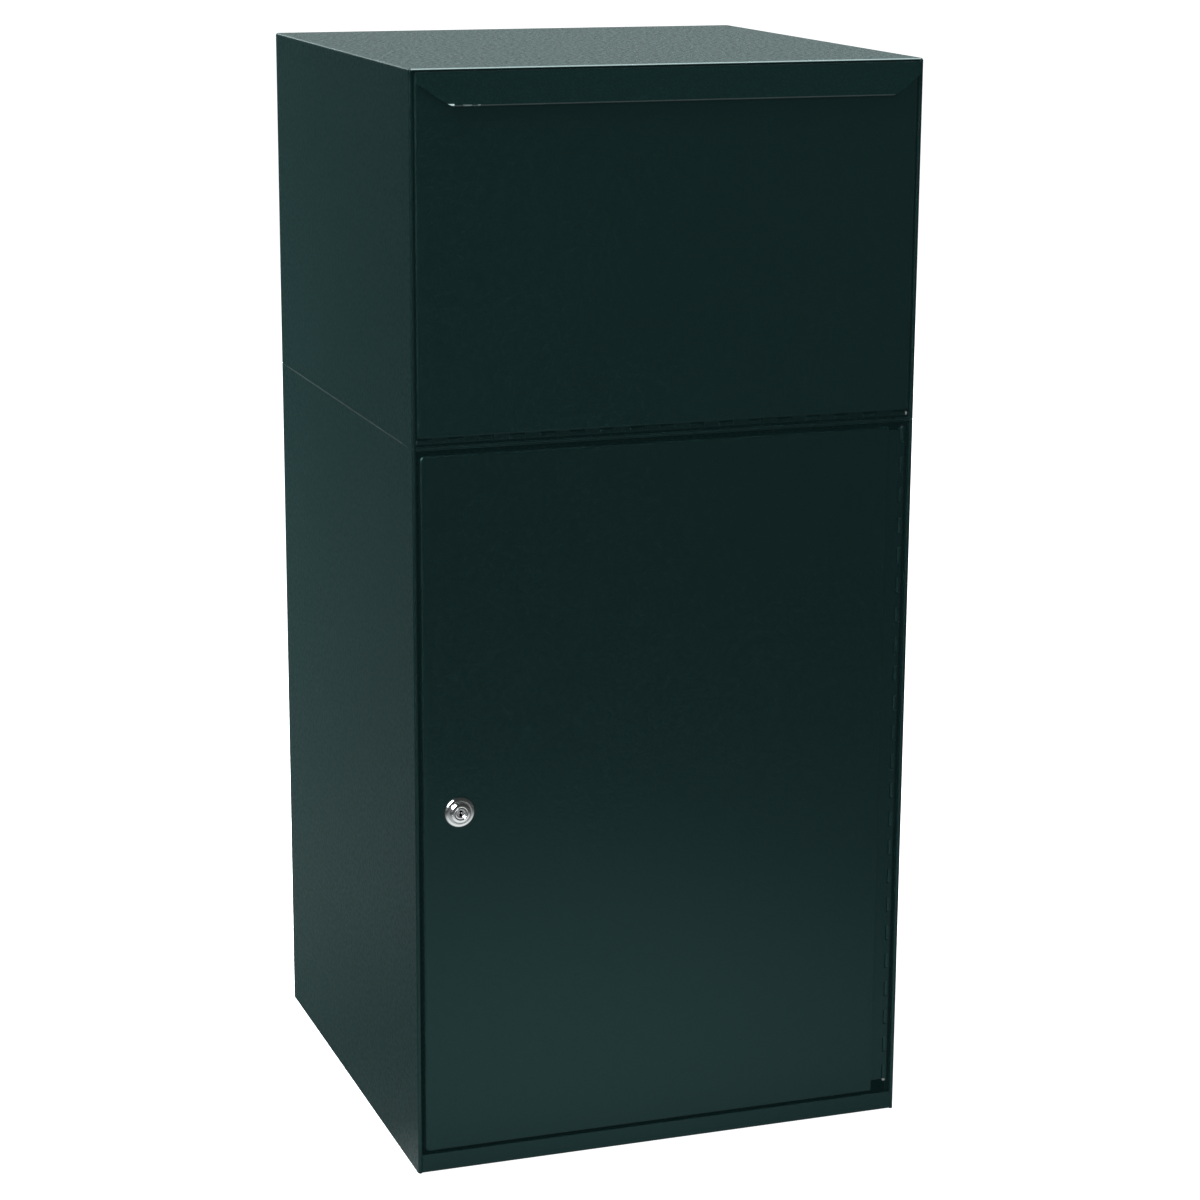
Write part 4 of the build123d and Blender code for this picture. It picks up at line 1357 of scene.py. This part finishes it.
def floor_material(settings):
    """White to the camera with the box's shadow kept; to gloss, a painted pool of light with painted
    shadow beside and behind the box.
    """
    material = bpy.data.materials.new("studio_floor")
    tree = empty_tree(material)
    rays = add_node(tree, "ShaderNodeLightPath").outputs
    place = output(tree, "ShaderNodeTexCoord", out="Object")
    ends = {0: place, 1: settings.painted_pool_centre}
    offset = output(tree, "ShaderNodeVectorMath", ends, "Value", operation="DISTANCE")
    # Painted pool of light that the box mirrors: shares of 6 m out from the pool and behind the box,
    # and the gloss's level at each.
    pool = ramp_by(tree, rise(tree, offset, 0.0, 6.0), (
        (0.0, 0.80), (0.03, 0.78), (0.05, 0.63), (0.08, 0.38), (0.115, 0.16), (0.15, 0.12),
        (0.3, 0.03), (0.6, 0.05), (1.0, 0.16),
    ))
    depth = split(tree, place)["Y"]
    # Painted shadow: beside and behind the box the pool's gloss falls to the shade share.
    ahead = spread(tree, depth, 1.0, settings.shade, -0.28, -0.10)
    behind = ramp_by(tree, rise(tree, depth, 0.0, 6.0), (
        (0.0, 0.0), (0.03, 0.03), (0.08, 0.13), (0.16, 0.08), (0.38, 0.05), (0.6, 0.0),
        (1.0, 0.0),
    ))
    lit = plus(tree, times(tree, pool, ahead), behind)
    gloss = output(tree, "ShaderNodeEmission", {"Color": lit, "Strength": 1.0})
    diffuse = output(tree, "ShaderNodeBsdfDiffuse", {"Color": settings.floor_colour})
    sides = split(tree, output(tree, "ShaderNodeVectorMath", {0: place}, operation="ABSOLUTE"))
    farther = calc(tree, "MAXIMUM", sides["X"], sides["Y"])
    lift = spread(tree, farther, 0.0, settings.camera_glow, 0.195, 0.200)
    glow = output(tree, "ShaderNodeEmission", {"Color": WHITE, "Strength": lift})
    white = output(tree, "ShaderNodeAddShader", {0: diffuse, 1: glow})
    seen = mix_shaders(tree, rays["Is Camera Ray"], diffuse, white)
    shown = mix_shaders(tree, rays["Is Glossy Ray"], seen, gloss)
    add_node(tree, "ShaderNodeOutputMaterial", {"Surface": shown})
    material.cycles.emission_sampling = "NONE"
    return material


def studio_world(settings):
    """White behind the box for the camera, brighter at the back than the front to gloss."""
    world = bpy.data.worlds.new("studio")
    tree = empty_tree(world)
    rays = add_node(tree, "ShaderNodeLightPath").outputs
    way = output(tree, "ShaderNodeTexCoord", out="Generated")

    def background(colour, strength):
        """Even light of one colour."""
        return output(tree, "ShaderNodeBackground", {"Color": colour, "Strength": strength})

    def towards(direction, level, rim, core):
        """A level that rises from the rim of a patch of the surroundings to its core."""
        ways = {0: way, 1: direction}
        facing = output(tree, "ShaderNodeVectorMath", ways, "Value", operation="DOT_PRODUCT")
        return spread(tree, facing, 0.0, level, rim, core)

    wall = ramp_by(tree, split(tree, way)["Z"], (
        (0.0, 0.23), (0.1, 0.30), (0.25, 0.85), (0.42, 1.5), (0.6, 0.5), (0.8, 0.0),
    ))
    lit = {0: wall, "Scale": towards((0.6, 0.8, 0.0), 1.0, 0.5, 0.86)}
    back = output(tree, "ShaderNodeVectorMath", lit, operation="SCALE")
    gloss = plus(tree, back, settings.room)
    gloss = plus(tree, gloss, towards(settings.card_way, settings.card, 0.91, 0.96))
    gloss = plus(tree, gloss, towards(settings.screen_way, settings.screen, 0.8, 0.95))
    tint = mix_colours(tree, back, WHITE, settings.back_tint)
    even, mirrored = background(WHITE, settings.ambient), background(tint, gloss)
    unseen = mix_shaders(tree, rays["Is Glossy Ray"], even, mirrored)
    shown = mix_shaders(tree, rays["Is Camera Ray"], unseen, background(WHITE, 1.0))
    add_node(tree, "ShaderNodeOutputWorld", {"Surface": shown})
    world.cycles.sampling_method = "NONE"
    return world


def area_lamp(name, place, aim, size, power):
    """A large soft square lamp pointed at a spot, left out of the gloss."""
    data = bpy.data.lights.new(name, "AREA")
    data.shape = "SQUARE"
    data.size = size
    data.energy = power
    lamp = bpy.data.objects.new(name, data)
    lamp.location = place
    lamp.rotation_euler = (Vector(aim) - Vector(place)).to_track_quat("-Z", "Y").to_euler()
    lamp.visible_glossy = False
    bpy.context.scene.collection.objects.link(lamp)


class DROPBOX_OT_stage(bpy.types.Operator):
    """Lay the floor, hang the lamps and set the camera"""

    bl_idname = "dropbox.stage"
    bl_label = "Build the stage"

    def execute(self, context):
        settings = context.scene.dropbox_stage
        half = 30.0
        corners = [(-half, -half, 0.0), (half, -half, 0.0), (half, half, 0.0), (-half, half, 0.0)]
        mesh = bpy.data.meshes.new("studio_floor")
        mesh.from_pydata(corners, [], [(0, 1, 2, 3)])
        finish(mesh, floor_material(settings))
        new_piece("studio_floor", mesh)
        area_lamp("front_lamp", (-1.35, -3.7, 1.5), (0.0, 0.0, 0.45), 1.0, settings.key)
        area_lamp("side_lamp", (-1.1, 1.0, 0.45), (-0.2, 0.1, 0.42), 0.6, settings.side)
        area_lamp("rear_lamp", (1.6, 3.6, 2.4), (0.0, 0.0, 0.45), 2.0, settings.fill)
        context.scene.world = studio_world(settings)
        context.scene.view_settings.view_transform = "Standard"
        data = bpy.data.cameras.new("studio_camera")
        data.sensor_width = 36.0
        data.lens = 94.038
        data.clip_end = 100.0
        camera = bpy.data.objects.new("studio_camera", data)
        camera.location = (-0.88305, -2.54861, 1.10069)
        camera.rotation_euler = [radians(a) for a in (76.01337, -0.30071, -19.32281)]
        context.scene.collection.objects.link(camera)
        context.scene.camera = camera
        return {"FINISHED"}


class DROPBOX_PT_panel(bpy.types.Panel):
    """The drop box's operators in the order in which they run"""

    bl_idname = "DROPBOX_PT_panel"
    bl_label = "Key drop box"
    bl_space_type = "VIEW_3D"
    bl_region_type = "UI"
    bl_category = "Drop Box"

    def draw(self, context):
        for group, kind in GROUPS.items():
            column = self.layout.column(align=True)
            for name in kind.__annotations__:
                column.prop(getattr(context.scene, group), name)
        for operator in OPERATORS:
            self.layout.operator(operator.bl_idname)


OPERATORS = (
    DROPBOX_OT_cad_finishes,
    DROPBOX_OT_hinges,
    DROPBOX_OT_doors,
    DROPBOX_OT_pull,
    DROPBOX_OT_roof,
    DROPBOX_OT_lock,
    DROPBOX_OT_fixings,
    DROPBOX_OT_bumpers,
    DROPBOX_OT_stage,
)
GROUPS = {
    "dropbox_paint": DropBoxPaint,
    "dropbox_hinges": DropBoxHinges,
    "dropbox_doors": DropBoxDoors,
    "dropbox_pull": DropBoxPull,
    "dropbox_roof": DropBoxRoof,
    "dropbox_lock": DropBoxLock,
    "dropbox_fixings": DropBoxFixings,
    "dropbox_stage": DropBoxStage,
}


def register():
    for group in GROUPS.values():
        bpy.utils.register_class(group)
    for name, group in GROUPS.items():
        setattr(bpy.types.Scene, name, PointerProperty(type=group))
    for operator in OPERATORS:
        bpy.utils.register_class(operator)
    bpy.utils.register_class(DROPBOX_PT_panel)


def unregister():
    bpy.utils.unregister_class(DROPBOX_PT_panel)
    for operator in reversed(OPERATORS):
        bpy.utils.unregister_class(operator)
    for name in GROUPS:
        delattr(bpy.types.Scene, name)
    for group in reversed(list(GROUPS.values())):
        bpy.utils.unregister_class(group)


def main():
    register()
    bpy.ops.dropbox.cad_finishes()
    bpy.ops.dropbox.hinges()
    bpy.ops.dropbox.doors()
    bpy.ops.dropbox.pull()
    bpy.ops.dropbox.roof()
    bpy.ops.dropbox.lock()
    bpy.ops.dropbox.fixings()
    bpy.ops.dropbox.bumpers()
    bpy.ops.dropbox.stage()


if __name__ == "__main__":
    main()
